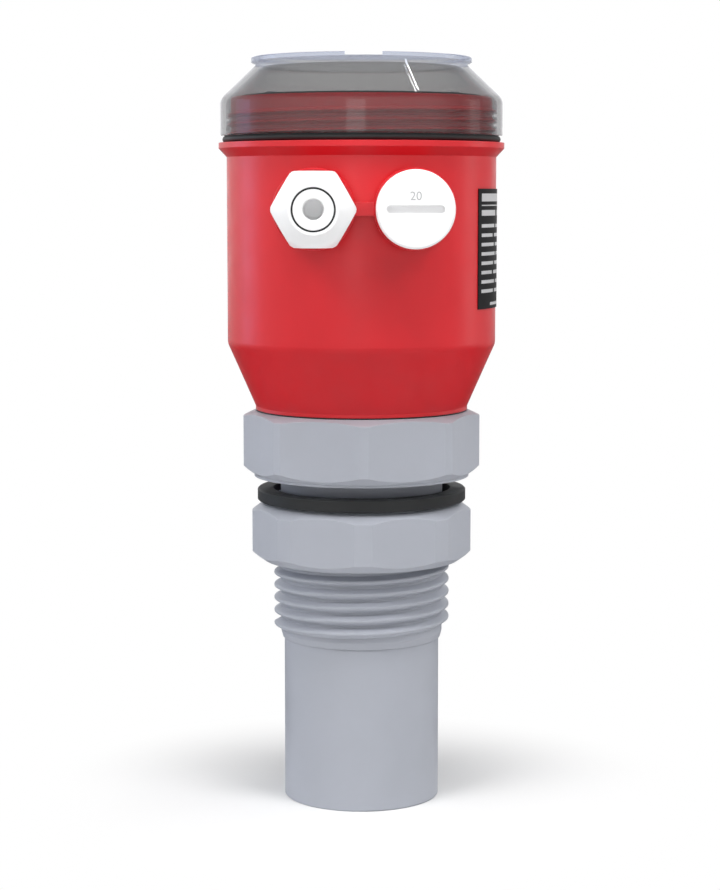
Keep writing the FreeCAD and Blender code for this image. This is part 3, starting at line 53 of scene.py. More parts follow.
EDGE_TURN = (0.995, 0.80)  # likeness of true and rounded normal where an edge begins and is full
LEVEL_LINES = (30, 30, 1)  # how much a grain is drawn out along each axis
SCRATCHES = (40, 1, 1)
UPWARDS = 0.9  # part of a normal along Z that counts as facing up
WHITE_LIGHT = (1.0, 1.0, 1.0, 1.0)
Colour = tuple[float, float, float]
Paint = tuple[float, float, float, float]
Point = tuple[float, float, float]
Span = tuple[float, float]
Socket = bpy.types.NodeSocket
Piece = bpy.types.Object


class Grain(Enum):
    """The fine relief of a surface."""

    MOULDED = "fine skin of a moulding"
    TURNED = "faint level lines round the upright axis"
    BRUSHED = "long scratches along X"
    CELLS = "open cells of a foam"
    FIBRE = "crossed fibres of a laminate"
    WOUND = "level turns of tape or wire"


class Part(Enum):
    """What an edit picks."""

    VERTEX = "VERT"
    EDGE = "EDGE"
    FACE = "FACE"


class Tree:
    """The node tree of one material or of the world."""

    def __init__(self, owner: bpy.types.Material | bpy.types.World) -> None:
        """Starts with an empty tree.

        Args:
            owner: The new material or world.
        """
        self.owner = owner
        owner.use_nodes = True
        self.nodes = owner.node_tree.nodes
        self.nodes.clear()
        coordinates = self.add("ShaderNodeTexCoord")
        self.place = coordinates.outputs["Object"]
        self.way = coordinates.outputs["Generated"]

    def add(self, kind: str, inputs: dict | None = None, **settings: object) -> bpy.types.Node:
        """Adds a node.

        Args:
            kind: Type of the node.
            inputs: A number, colour or linked socket for each named input.
            **settings: Properties of the node.

        Returns:
            The node.
        """
        node = self.nodes.new(kind)
        for key, setting in settings.items():
            setattr(node, key, setting)
        for key, given in (inputs or {}).items():
            if isinstance(given, Socket):
                self.owner.node_tree.links.new(given, node.inputs[key])
            else:
                node.inputs[key].default_value = given
        return node

    def noise(self, size: float, detail: float = 2.0, stretch: Point = (1, 1, 1)) -> Socket:
        """A cloudy pattern.

        Args:
            size: Size of its patches.
            detail: How many finer layers it has.
            stretch: How much it is drawn out along each axis.

        Returns:
            Its value, about 0.3 to 0.7.
        """
        scaled = self.add(
            "ShaderNodeMapping", {"Vector": self.place, "Scale": [1 / s for s in stretch]}
        )
        return self.add(
            "ShaderNodeTexNoise",
            {"Vector": scaled.outputs[0], "Scale": 1 / size, "Detail": detail},
        ).outputs["Fac"]

    def spread(
        self, source: Socket, low: float, high: float, to: Span = (0.0, 1.0), eased: bool = False
    ) -> Socket:
        """A value moved from one range to another.

        Args:
            source: The value.
            low: Start of its range.
            high: End of its range.
            to: The new range.
            eased: Whether it starts and ends gently.

        Returns:
            The value in the new range.
        """
        return self.add(
            "ShaderNodeMapRange",
            {"Value": source, "From Min": low, "From Max": high, "To Min": to[0], "To Max": to[1]},
            interpolation_type="SMOOTHSTEP" if eased else "LINEAR",
        ).outputs["Result"]

    def join(self, how: str, first: object, second: object) -> Socket:
        """Two numbers joined by an operation, kept from 0 to 1."""
        numbers = {0: first, 1: second}
        return self.add("ShaderNodeMath", numbers, operation=how, use_clamp=True).outputs[0]

    def between(self, factor: Socket, first: object, second: object) -> Socket:
        """A number between two others."""
        inputs = {"Factor": factor, "A": first, "B": second}
        return self.add("ShaderNodeMix", inputs).outputs["Result"]

    def seen(self) -> Socket:
        """Tells rays that show something from rays that only light it.

        Returns:
            1 for what is seen directly, in a reflection or through something clear.
        """
        path = self.add("ShaderNodeLightPath").outputs
        mirrored = self.join("MAXIMUM", path["Is Glossy Ray"], path["Is Transmission Ray"])
        return self.join("MAXIMUM", path["Is Camera Ray"], mirrored)

    def blend(self, factor: Socket, first: object, second: object) -> Socket:
        """A mix of two colours.

        Args:
            factor: Share of the second colour.
            first: Colour or socket.
            second: Colour or socket.

        Returns:
            The mixed colour.
        """
        mix = self.add("ShaderNodeMix", {"Factor": factor}, data_type="RGBA")
        for socket, given in ((mix.inputs[6], first), (mix.inputs[7], second)):
            if isinstance(given, Socket):
                self.owner.node_tree.links.new(given, socket)
            else:
                socket.default_value = (*given, 1.0)
        return mix.outputs[2]

    def overlay(self, share: Socket, under: bpy.types.Node, over: bpy.types.Node) -> bpy.types.Node:
        """One shader over another, as strong as its share."""
        inputs = {0: share, 1: under.outputs[0], 2: over.outputs[0]}
        return self.add("ShaderNodeMixShader", inputs)

    def finish(self, shader: bpy.types.Node) -> bpy.types.Material | bpy.types.World:
        """Joins the shader to the output.

        Args:
            shader: The last shader.

        Returns:
            The material or world.
        """
        kind = "World" if isinstance(self.owner, bpy.types.World) else "Material"
        self.add("ShaderNodeOutput" + kind, {"Surface": shader.outputs[0]})
        return self.owner


@dataclass(frozen=True)
class Finish:
    """A solid finish.

    Attributes:
        name: Name of the material.
        colour: Its colour.
        shade: Colour of its faint patches.
        rough: Lowest and highest roughness.
        grain: Kind of fine relief.
        pitch: Size of the relief.
        depth: Height of the relief.
        soften: Radius of its edges, 0 for none.
        wear_and_edge_highlight: Colour of its edges, where they differ; partly wear and partly a
            painted highlight.
        metal: 1 for a metal.
        specular: Strength of its reflection.
        coat: Strength of a clear layer on it.
        coat_rough: Roughness of that layer.
        patch: Size of its patches of colour.
        rough_patch: Size of its patches of roughness.
        waver: How much its fibres or turns waver.
    """

    name: str
    colour: Colour
    shade: Colour
    rough: Span = (0.35, 0.45)
    grain: Grain = Grain.MOULDED
    pitch: float = 0.35 * MM
    depth: float = 0.004 * MM
    soften: float = 0.0
    wear_and_edge_highlight: Colour | None = None
    metal: float = 0.0
    specular: float = 0.5
    coat: float = 0.0
    coat_rough: float = 0.12
    patch: float = 26 * MM
    rough_patch: float = 9 * MM
    waver: float = 0.6

    def relief(self, tree: Tree) -> Socket:
        """The height pattern of its grain.

        Args:
            tree: The material being built.

        Returns:
            A height from about 0 to 1.
        """
        if self.grain is Grain.TURNED:
            return tree.noise(self.pitch, 3.0, LEVEL_LINES)
        if self.grain is Grain.BRUSHED:
            return tree.noise(self.pitch, 3.0, SCRATCHES)
        if self.grain is Grain.CELLS:
            cells = {"Vector": tree.place, "Scale": 1 / self.pitch}
            return tree.add("ShaderNodeTexVoronoi", cells).outputs["Distance"]
        if self.grain in (Grain.FIBRE, Grain.WOUND):
            scale = 1 / (math.tau * self.pitch)
            wave = {"Vector": tree.place, "Scale": scale, "Distortion": self.waver}
            up = tree.add("ShaderNodeTexWave", wave, bands_direction="Z").outputs["Fac"]
            if self.grain is Grain.WOUND:
                return up
            along = tree.add("ShaderNodeTexWave", wave, bands_direction="X").outputs["Fac"]
            across = tree.add("ShaderNodeTexWave", wave, bands_direction="Y").outputs["Fac"]
            return tree.add("ShaderNodeMath", {0: along, 1: across}, operation="MAXIMUM").outputs[0]
        return tree.noise(self.pitch)

    def material(self) -> bpy.types.Material:
        """Builds the material.

        Returns:
            The material.
        """
        tree = Tree(bpy.data.materials.new(self.name))
        patches = tree.spread(tree.noise(self.patch, 3.0), *CLOUD)
        colour = tree.blend(patches, self.colour, self.shade)
        bump = {"Height": self.relief(tree), "Distance": self.depth, "Strength": 1.0}
        if self.soften:
            rounded = tree.add("ShaderNodeBevel", {"Radius": self.soften}, samples=6)
            bump["Normal"] = rounded.outputs[0]
            # Where the rounded normal parts from the true one, the colour turns to the lighter edge
            # colour: partly wear, partly a painted highlight.
            if self.wear_and_edge_highlight:
                true = tree.add("ShaderNodeNewGeometry").outputs["Normal"]
                normals = {0: rounded.outputs[0], 1: true}
                likeness = tree.add("ShaderNodeVectorMath", normals, operation="DOT_PRODUCT")
                edge = tree.spread(likeness.outputs["Value"], *EDGE_TURN)
                colour = tree.blend(edge, colour, self.wear_and_edge_highlight)
        rough = tree.spread(tree.noise(self.rough_patch, 4.0), *WIDE_CLOUD, self.rough)
        shader = tree.add(
            "ShaderNodeBsdfPrincipled",
            {
                "Base Color": colour,
                "Roughness": rough,
                "Metallic": self.metal,
                "Specular IOR Level": self.specular,
                "Coat Weight": self.coat,
                "Coat Roughness": self.coat_rough,
                "Normal": tree.add("ShaderNodeBump", bump).outputs[0],
            },
        )
        return tree.finish(shader)


@dataclass(frozen=True)
class SmokyLid:
    """Clear, slightly smoky plastic that lets the neck and the panel show.

    Attributes:
        name: Name of the material.
        wall: Colour of the haze in its cone and skirt.
        crown_haze_and_reflection: Colour of the haze in its disc and rim, made bluer as a painted
            reflection.
        edge: Colour of its walls where they are seen edge-on, a pale painted sheen.
        tint: What one face of the cone and the skirt lets through.
        crown_tint: What one face of the disc and the rim lets through, bluer as part of that
            painted reflection.
        crown_z: Height where the disc begins.
        crown_step: Half the height over which its finish changes to the bluer one with the painted
            reflection.
        veil: Share of the view that one face hides.
        gloss: Refractive index, high because only the veil's share of the face reflects.
        rough: Lowest and highest roughness.
        rough_patch: Size of its patches of roughness.
        glance: Power by which the veil closes where a face is seen edge-on.
    """

    name: str
    wall: Colour = (0.10, 0.11, 0.115)
    crown_haze_and_reflection: Colour = (0.26, 0.30, 0.46)
    edge: Colour = (0.64, 0.66, 0.73)
    tint: Colour = (0.805, 0.80, 0.80)
    crown_tint: Colour = (0.80, 0.82, 0.87)
    crown_z: float = 252.6 * MM
    crown_step: float = 0.3 * MM
    veil: float = 0.14
    gloss: float = 2.5
    rough: Span = (0.03, 0.05)
    rough_patch: float = 14 * MM
    glance: float = 5.0

    def material(self) -> bpy.types.Material:
        """Builds the material.

        Returns:
            The material.
        """
        tree = Tree(bpy.data.materials.new(self.name))
        height = tree.add("ShaderNodeSeparateXYZ", {0: tree.place}).outputs["Z"]
        low, high = self.crown_z - self.crown_step, self.crown_z + self.crown_step
        # Above crown_z the haze and the tint turn bluer, a painted reflection.
        step = tree.spread(height, low, high)
        # Seen edge-on, the haze turns to the pale edge colour, a painted sheen, and the veil
        # closes.
        facing = tree.add("ShaderNodeLayerWeight", {"Blend": 0.5}).outputs["Facing"]
        glance = tree.join("POWER", facing, self.glance)
        haze = tree.blend(glance, tree.blend(step, self.wall, self.crown_haze_and_reflection), self.edge)
        rough = tree.spread(tree.noise(self.rough_patch, 2.0), *WIDE_CLOUD, self.rough)
        body = tree.add(
            "ShaderNodeBsdfPrincipled", {"Base Color": haze, "Roughness": rough, "IOR": self.gloss}
        )
        tint = tree.blend(step, self.tint, self.crown_tint)
        clear = tree.add("ShaderNodeBsdfTransparent", {"Color": tint})
        return tree.finish(tree.overlay(tree.join("ADD", glance, self.veil), clear, body))


GREY = Finish(
    "grey_plastic", (0.413, 0.431, 0.484), (0.399, 0.417, 0.466), (0.42, 0.52), Grain.TURNED,
    0.5 * MM, 0.002 * MM, 0.35 * MM, (0.50, 0.515, 0.56), specular=0.35,
)
# Its lighter edge colour is partly wear and partly a painted highlight on the crests of the neck's
# thread.
RED = Finish(
    "red_plastic", (0.65, 0.014, 0.022), (0.62, 0.013, 0.020), (0.28, 0.38), Grain.MOULDED,
    0.5 * MM, 0.002 * MM, 0.3 * MM, (0.70, 0.05, 0.06), specular=0.5,
)
WHITE = Finish(
    "white_nylon", (0.95, 0.95, 0.955), (0.93, 0.93, 0.935), (0.32, 0.42), Grain.MOULDED,
    0.4 * MM, 0.002 * MM, 0.3 * MM,
)
RUBBER = Finish(
    "black_rubber", (0.026, 0.027, 0.028), (0.020, 0.021, 0.022), (0.45, 0.6), Grain.MOULDED,
    0.25 * MM, 0.006 * MM, 0.2 * MM, (0.06, 0.062, 0.063), specular=0.4,
)
FINISHES = {
    finish.name: finish
    for finish in (
        GREY, RED, WHITE, RUBBER, SmokyLid("clear_lid"),
        Finish("white_rubber", (0.93, 0.93, 0.93), (0.90, 0.90, 0.90), (0.5, 0.65)),
        Finish("grey_rubber", (0.90, 0.90, 0.91), (0.87, 0.87, 0.88), (0.5, 0.65)),
        Finish(
            "label_plate", (0.016, 0.016, 0.017), (0.013, 0.013, 0.014), (0.46, 0.54),
            pitch=0.2 * MM, depth=0.001 * MM, specular=0.12,
        ),
        Finish(
            "black_plastic", (0.035, 0.035, 0.036), (0.028, 0.028, 0.029), (0.4, 0.5),
            soften=0.2 * MM, wear_and_edge_highlight=(0.07, 0.07, 0.072),
        ),
        Finish(
            "matching_layer", (0.55, 0.50, 0.42), (0.48, 0.43, 0.35), (0.5, 0.6), Grain.CELLS,
            0.12 * MM, 0.01 * MM,
        ),
        Finish(
            "ceramic", (0.62, 0.60, 0.57), (0.52, 0.50, 0.46), (0.3, 0.45), Grain.MOULDED,
            0.1 * MM, 0.004 * MM,
        ),
        Finish(
            "foam", (0.12, 0.12, 0.125), (0.08, 0.08, 0.085), (0.8, 0.95), Grain.CELLS,
            0.9 * MM, 0.25 * MM, specular=0.2,
        ),
        Finish(
            "potting_resin", (0.022, 0.022, 0.024), (0.03, 0.028, 0.027), (0.08, 0.2),
            Grain.MOULDED, 4 * MM, 0.05 * MM, coat=0.4,
        ),
        Finish(
            "black_cable", (0.03, 0.03, 0.032), (0.024, 0.024, 0.025), (0.4, 0.5),
            depth=0.006 * MM,
        ),
        Finish(
            "grey_cable", (0.36, 0.36, 0.37), (0.30, 0.30, 0.31), (0.4, 0.5), Grain.WOUND,
            0.64 * MM, 0.15 * MM,
        ),
        Finish(
            "circuit_board", (0.012, 0.15, 0.055), (0.008, 0.11, 0.04), (0.22, 0.34),
            Grain.FIBRE, 0.35 * MM, 0.01 * MM, coat=0.4,
        ),
        Finish(
            "green_plastic", (0.03, 0.30, 0.12), (0.025, 0.26, 0.10), (0.35, 0.45),
            soften=0.25 * MM, wear_and_edge_highlight=(0.07, 0.38, 0.19),
        ),
        Finish(
            "zinc_steel", (0.62, 0.63, 0.65), (0.50, 0.51, 0.52), (0.25, 0.4), Grain.BRUSHED,
            0.12 * MM, 0.003 * MM, 0.15 * MM, (0.75, 0.76, 0.77), metal=1.0,
        ),
        Finish(
            "yellow_tape", (0.70, 0.50, 0.05), (0.60, 0.42, 0.04), (0.3, 0.4), Grain.WOUND,
            1.1 * MM, 0.05 * MM, coat=0.3,
        ),
        Finish(
            "capacitor_sleeve", (0.02, 0.03, 0.10), (0.016, 0.024, 0.08), (0.2, 0.3),
            soften=0.3 * MM, wear_and_edge_highlight=(0.06, 0.07, 0.16), coat=0.5,
        ),
        Finish(
            "display_glass", (0.40, 0.46, 0.34), (0.38, 0.44, 0.32), (0.10, 0.16),
            depth=0.001 * MM, coat=0.5,
        ),
        Finish(
            "panel_face", (0.62, 0.66, 0.62), (0.59, 0.63, 0.59), (0.35, 0.45),
            pitch=0.25 * MM, depth=0.006 * MM,
        ),
        Finish(
            "red_keys", (0.60, 0.035, 0.045), (0.55, 0.03, 0.04), (0.22, 0.3),
            soften=0.25 * MM, wear_and_edge_highlight=(0.68, 0.10, 0.11), coat=0.3,
        ),
        Finish(
            "white_print", (0.52, 0.52, 0.53), (0.46, 0.46, 0.47), (0.35, 0.45),
            depth=0.001 * MM,
        ),
        Finish(
            "grey_print", (0.50, 0.50, 0.51), (0.44, 0.44, 0.45), (0.5, 0.6), depth=0.001 * MM
        ),
        Finish(
            "dark_print", (0.05, 0.06, 0.07), (0.04, 0.05, 0.055), (0.4, 0.5), depth=0.001 * MM
        ),
    )
}


class Palette:
    """The materials, each built once when it is first needed."""

    def __init__(self) -> None:
        """Starts with no material built."""
        self.built: dict[str, bpy.types.Material] = {}

    def get(self, name: str) -> bpy.types.Material:
        """The material of this name, built at its first use."""
        if name not in self.built:
            self.built[name] = FINISHES[name].material()
        return self.built[name]

    def dress_solids(self) -> None:
        """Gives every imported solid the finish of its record's slot."""
        slots = {row["node"]: row["material_slot"] for row in frame["record"]["subparts"]}
        for name, solid in frame["nodes"].items():
            for slot in solid.material_slots:
                slot.material = self.get(slots[name])
        LOG.info("dressed %d solids", len(frame["nodes"]))

    def dress(self, piece: Piece, finish: str, slot: str, body: str) -> None:
        """Finishes a new piece and lets it ride.

        Args:
            piece: The piece, with its place in its mesh.
            finish: Name of its finish.
            slot: The record's slot that it belongs to; not used.
            body: The body that it moves with.
        """
        piece.data.materials.clear()
        piece.data.materials.append(self.get(finish))
        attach(piece, body)
        LOG.info("%s: %d faces on %s", piece.name, len(piece.data.polygons), body)


@dataclass(frozen=True)
class Ridge:
    """Sizes of a fine thread at a cable entry.

    Attributes:
        radius: Radius of the shank.
        rise: How far the ridge stands out of it.
        turns: Its turns.
        end_y: Its inner end along Y.
        pitch: Its pitch.
        width: Radius of its three-sided section along the axis, as a share of the pitch.
    """

    radius: float
    rise: float
    turns: int
    end_y: float
    pitch: float = 1.5 * MM
    width: float = 0.46


class Bench:
    """Modelling by operators, one open piece at a time."""

    @staticmethod
    def clear() -> None:
        """Leaves edit mode and selects nothing."""
        if bpy.context.mode != "OBJECT":
            bpy.ops.object.mode_set(mode="OBJECT")
        bpy.ops.object.select_all(action="DESELECT")

    @staticmethod
    def settle(name: str = "") -> Piece:
        """Moves the active object's place into its mesh.

        Args:
            name: Its new name, if it gets one.

        Returns:
            The object.
        """
        piece = bpy.context.object
        if name:
            piece.name = piece.data.name = name
        bpy.ops.object.transform_apply(location=True, rotation=True, scale=True)
        return piece

    @staticmethod
    def put(piece: Piece, turn: Point = (0, 0, 0), at: Point = (0, 0, 0)) -> None:
        """Turns a piece about the origin, moves it, and keeps both in its mesh.

        Args:
            piece: The piece, at the origin.
            turn: Angles about X, Y and Z.
            at: Where its origin goes.
        """
        Bench.clear()
        piece.select_set(True)
        bpy.context.view_layer.objects.active = piece
        piece.rotation_euler = turn
        piece.location = at
        Bench.settle()

    @staticmethod
    def disc(name: str, radius: float, sides: int) -> Piece:
        """A round face that faces up at the origin.

        Args:
            name: Name of the piece.
            radius: Its radius.
            sides: How many sides it has.

        Returns:
            The piece, left in object mode.
        """
        Bench.clear()
        bpy.ops.mesh.primitive_circle_add(vertices=sides, radius=radius, fill_type="NGON")
        return Bench.settle(name)

    @staticmethod
    def plate(name: str, width: float, depth: float, at: Point, turn: Point = (0, 0, 0)) -> Piece:
        """A flat rectangle.

        Args:
            name: Name of the piece.
            width: Its size along X before it is turned.
            depth: Its size along Y before it is turned.
            at: Its middle.
            turn: Angles about X, Y and Z.

        Returns:
            The piece, left in object mode.
        """
        Bench.clear()
        bpy.ops.mesh.primitive_plane_add(size=1, location=at, rotation=turn)
        bpy.context.object.scale = (width, depth, 1)
        return Bench.settle(name)

    @staticmethod
    def pick(
        piece: Piece, kind: Part, test: Callable[[Vector, Vector], bool] = lambda place, way: True
    ) -> None:
        """Opens a piece and selects only what passes a test.

        Args:
            piece: The piece.
            kind: What to select.
            test: Takes the middle of a part and its normal.
        """
        if bpy.context.mode != "EDIT_MESH":
            Bench.clear()
            piece.select_set(True)
            bpy.context.view_layer.objects.active = piece
            bpy.ops.object.mode_set(mode="EDIT")
        bpy.ops.mesh.select_mode(type=kind.value)
        bpy.ops.mesh.select_all(action="DESELECT")
        mesh = bmesh.from_edit_mesh(piece.data)
        mesh.normal_update()
        if kind is Part.FACE:
            parts = [(face, face.calc_center_median(), face.normal) for face in mesh.faces]
        elif kind is Part.EDGE:
            ends = [(edge, *edge.verts) for edge in mesh.edges]
            parts = [
                (edge, (one.co + other.co) / 2, (one.normal + other.normal) / 2)
                for edge, one, other in ends
            ]
        else:
            parts = [(vertex, vertex.co, vertex.normal) for vertex in mesh.verts]
        for part, place, way in parts:
            if test(place, way):
                part.select_set(True)
        bmesh.update_edit_mesh(piece.data)

    @staticmethod
    def thicken(piece: Piece, way: Point) -> None:
        """Extrudes the whole flat piece into a closed plate.

        Args:
            piece: The flat piece.
            way: How far and in which direction.
        """
        Bench.pick(piece, Part.FACE)
        bpy.ops.mesh.extrude_region_move(TRANSFORM_OT_translate={"value": way})
        Bench.close(piece)

    @staticmethod
    def close(piece: Piece, smooth: float = 35.0) -> None:
        """Merges doubles, turns all faces outwards, leaves edit mode and shades by angle.

        Args:
            piece: The piece.
            smooth: Edges sharper than this many degrees stay sharp.
        """
        Bench.pick(piece, Part.VERTEX)
        bpy.ops.mesh.remove_doubles(threshold=MERGE)
        bpy.ops.mesh.normals_make_consistent(inside=False)
        bpy.ops.object.mode_set(mode="OBJECT")
        bpy.ops.object.shade_smooth_by_angle(angle=math.radians(smooth))

    @staticmethod
    def spun(piece: Piece, centre: Point, axis: Point, angle: float, steps: int) -> None:
        """Spins a flat section round an axis, into a ring if the angle is a full turn.

        Args:
            piece: The section.
            centre: A point on the axis.
            axis: Its direction.
            angle: How far to turn.
            steps: How many steps that takes.
        """
        full = angle >= math.tau
        Bench.pick(piece, Part.FACE)
        if full:
            bpy.ops.mesh.delete(type="ONLY_FACE")
            Bench.pick(piece, Part.EDGE)
        bpy.ops.mesh.spin(steps=steps, angle=-angle, center=centre, axis=axis, use_auto_merge=full)
        Bench.close(piece)

    @staticmethod
    def thread(name: str, ridge: Ridge) -> Piece:
        """A fine right-handed ridge round the Z axis, from z = 0 up.

        Args:
            name: Name of the piece.
            ridge: Its sizes.

        Returns:
            The ridge.
        """
        Bench.clear()
        # Its section has three sides, with the tip outwards and the back sunk in the shank.
        bpy.ops.mesh.primitive_circle_add(
            vertices=3, radius=1, fill_type="NOTHING", rotation=(0, 0, -math.pi / 2)
        )
        piece = Bench.settle(name)
        Bench.put(piece, (math.pi / 2, 0, 0))
        piece.scale = (ridge.rise, 1, ridge.pitch * ridge.width)
        Bench.settle()
        Bench.put(piece, at=(ridge.radius, 0, ridge.pitch / 2))
        winding = piece.modifiers.new("winding", "SCREW")
        winding.axis, winding.angle, winding.screw_offset = "Z", math.tau, ridge.pitch
        winding.iterations = ridge.turns
        winding.steps = winding.render_steps = THREAD_STEPS
        bpy.ops.object.modifier_apply(modifier=winding.name)
        Bench.pick(piece, Part.VERTEX)
        bpy.ops.mesh.remove_doubles(threshold=MERGE / 2)
        bpy.ops.mesh.fill_holes(sides=3)
        Bench.close(piece)
        return piece

    @staticmethod
    def words(name: str, text: str, size: float, depth: float) -> Piece:
        """Plain figures as a thin plate, centred on the origin and facing up.

        Args:
            name: Name of the piece.
            text: The figures.
            size: Their height.
            depth: Half their thickness.

        Returns:
            The plate.
        """
        Bench.clear()
        bpy.ops.object.text_add()
        letters = bpy.context.object
        letters.data.body, letters.data.size, letters.data.extrude = text, size, depth
        letters.data.align_x, letters.data.align_y = "CENTER", "CENTER"
        letters.data.resolution_u = 6
        bpy.ops.object.convert(target="MESH")
        piece = Bench.settle(name)
        Bench.close(piece, smooth=30.0)
        return piece

    @staticmethod
    def join(name: str, pieces: list[Piece]) -> Piece:
        """Joins pieces into one mesh.

        Args:
            name: Name of the joined piece.
            pieces: The pieces, at least one.

        Returns:
            The joined piece.
        """
        Bench.clear()
        for piece in pieces:
            piece.select_set(True)
        bpy.context.view_layer.objects.active = pieces[0]
        bpy.ops.object.join()
        return Bench.settle(name)

    @staticmethod
    def copy(piece: Piece) -> Piece:
        """Copies a piece and its mesh.

        Args:
            piece: The piece.

        Returns:
            The copy.
        """
        twin = piece.copy()
        twin.data = piece.data.copy()
        bpy.context.scene.collection.objects.link(twin)
        return twin


@dataclass
class CableEntries:
    """Fine parts of the gland and the plug.

    Attributes:
        palette: The materials.
        entry_x: Entries from the middle.
        entry_z: Their height.
        ring_r: Middle radius of the black ring round the insert.
        ring_width: Width of that ring.
        ring_length: Its length.
        ring_corner: Size of its rounded corners.
        ring_front: Its front end along Y.
        disc_r: Radius of the dust disc, a little under the cable hole's.
        disc_y: Its front.
        disc_thickness: Its thickness.
        disc_steps: Width and depth of the steps in its front, from outside in.
        gland_ridge: Fine thread of the gland body.
        plug_ridge: Fine thread of the plug.
        figure: The plain figure over the plug's slot.
        figure_height: Its height.
        figure_depth: Half its thickness.
        figure_y: Middle of that thickness, just inside the front of the plug's head.
        figure_rise: Its middle from the plug's.
    """

    palette: Palette
    entry_x: float = 16.3 * MM
    entry_z: float = 204.4 * MM
    ring_r: float = 6.67 * MM
    ring_width: float = 0.56 * MM
    ring_length: float = 1.6 * MM
    ring_corner: float = 0.168 * MM
    ring_front: float = -74.97 * MM
    disc_r: float = 3.23 * MM
    disc_y: float = -69.4 * MM
    disc_thickness: float = 1.0 * MM
    disc_steps: tuple[Span, ...] = ((0.5 * MM, 0.2 * MM), (0.3 * MM, 0.1 * MM))
    gland_ridge: Ridge = Ridge(9.24 * MM, 0.2 * MM, 4, -57.4 * MM)
    plug_ridge: Ridge = Ridge(9.90 * MM, 0.17 * MM, 6, -40.6 * MM)
    figure: str = "20"
    figure_height: float = 3.9 * MM
    figure_depth: float = 0.05 * MM
    figure_y: float = -55.98 * MM
    figure_rise: float = 4.1 * MM

    def black_ring(self) -> None:
        """A black ring in the gap between the rubber insert and the dome nut."""
        middle = (-self.entry_x + self.ring_r, self.ring_front + self.ring_length / 2, self.entry_z)
        ring = Bench.plate("gland_ring", self.ring_width, self.ring_length, middle)
        Bench.pick(ring, Part.VERTEX)
        bpy.ops.mesh.bevel(offset=self.ring_corner, segments=3, affect="VERTICES")
        Bench.spun(ring, (-self.entry_x, 0, self.entry_z), (0, 1, 0), math.tau, steps=72)
        self.palette.dress(ring, "black_rubber", "black_rubber", "gland_seal")

    def dust_disc(self) -> None:
        """A thin grey disc a little way inside the gland's hole."""
        disc = Bench.disc("gland_dust_disc", self.disc_r, sides=48)
        Bench.thicken(disc, (0, 0, -self.disc_thickness))
        Bench.pick(disc, Part.FACE, lambda place, way: way.z > UPWARDS)
        for width, depth in self.disc_steps:
            bpy.ops.mesh.inset(thickness=width, depth=-depth)
        Bench.close(disc, smooth=50.0)
        Bench.put(disc, (math.pi / 2, 0, 0), (-self.entry_x, self.disc_y, self.entry_z))
        self.palette.dress(disc, "grey_rubber", "white_rubber", "gland_seal")

    def thread(self, name: str, ridge: Ridge, across: float, body: str) -> None:
        """A fine thread on the shank in one entry.

        Args:
            name: Name of the piece.
            ridge: Its sizes.
            across: Place of the entry along X.
            body: The body that it moves with.
        """
        piece = Bench.thread(name, ridge)
        Bench.put(piece, (math.pi / 2, 0, 0), (across, ridge.end_y, self.entry_z))
        self.palette.dress(piece, "white_nylon", "white_nylon", body)

    def plug_figure(self) -> None:
        """The plain figure over the plug's slot."""
        piece = Bench.words("plug_figure", self.figure, self.figure_height, self.figure_depth)
        place = (self.entry_x, self.figure_y, self.entry_z + self.figure_rise)
        Bench.put(piece, (math.pi / 2, 0, 0), place)
        self.palette.dress(piece, "grey_print", "white_nylon", "plug")

    def build(self) -> None:
        """Builds all its pieces."""
        self.black_ring()
        self.dust_disc()
        self.thread("gland_thread", self.gland_ridge, -self.entry_x, "sensor")
        self.thread("plug_thread", self.plug_ridge, self.entry_x, "plug")
        self.plug_figure()


PRINT_EDGE = 31.5  # how far the label's print reaches to both sides of +X, in degrees


class Bar(NamedTuple):
    """A printed bar on the label.

    Attributes:
        below: Its middle under the label's upper edge.
        height: Its own height.
        start: Where it begins, in degrees from +X.
        end: Where it ends.
    """

    below: float
    height: float
    start: float
    end: float


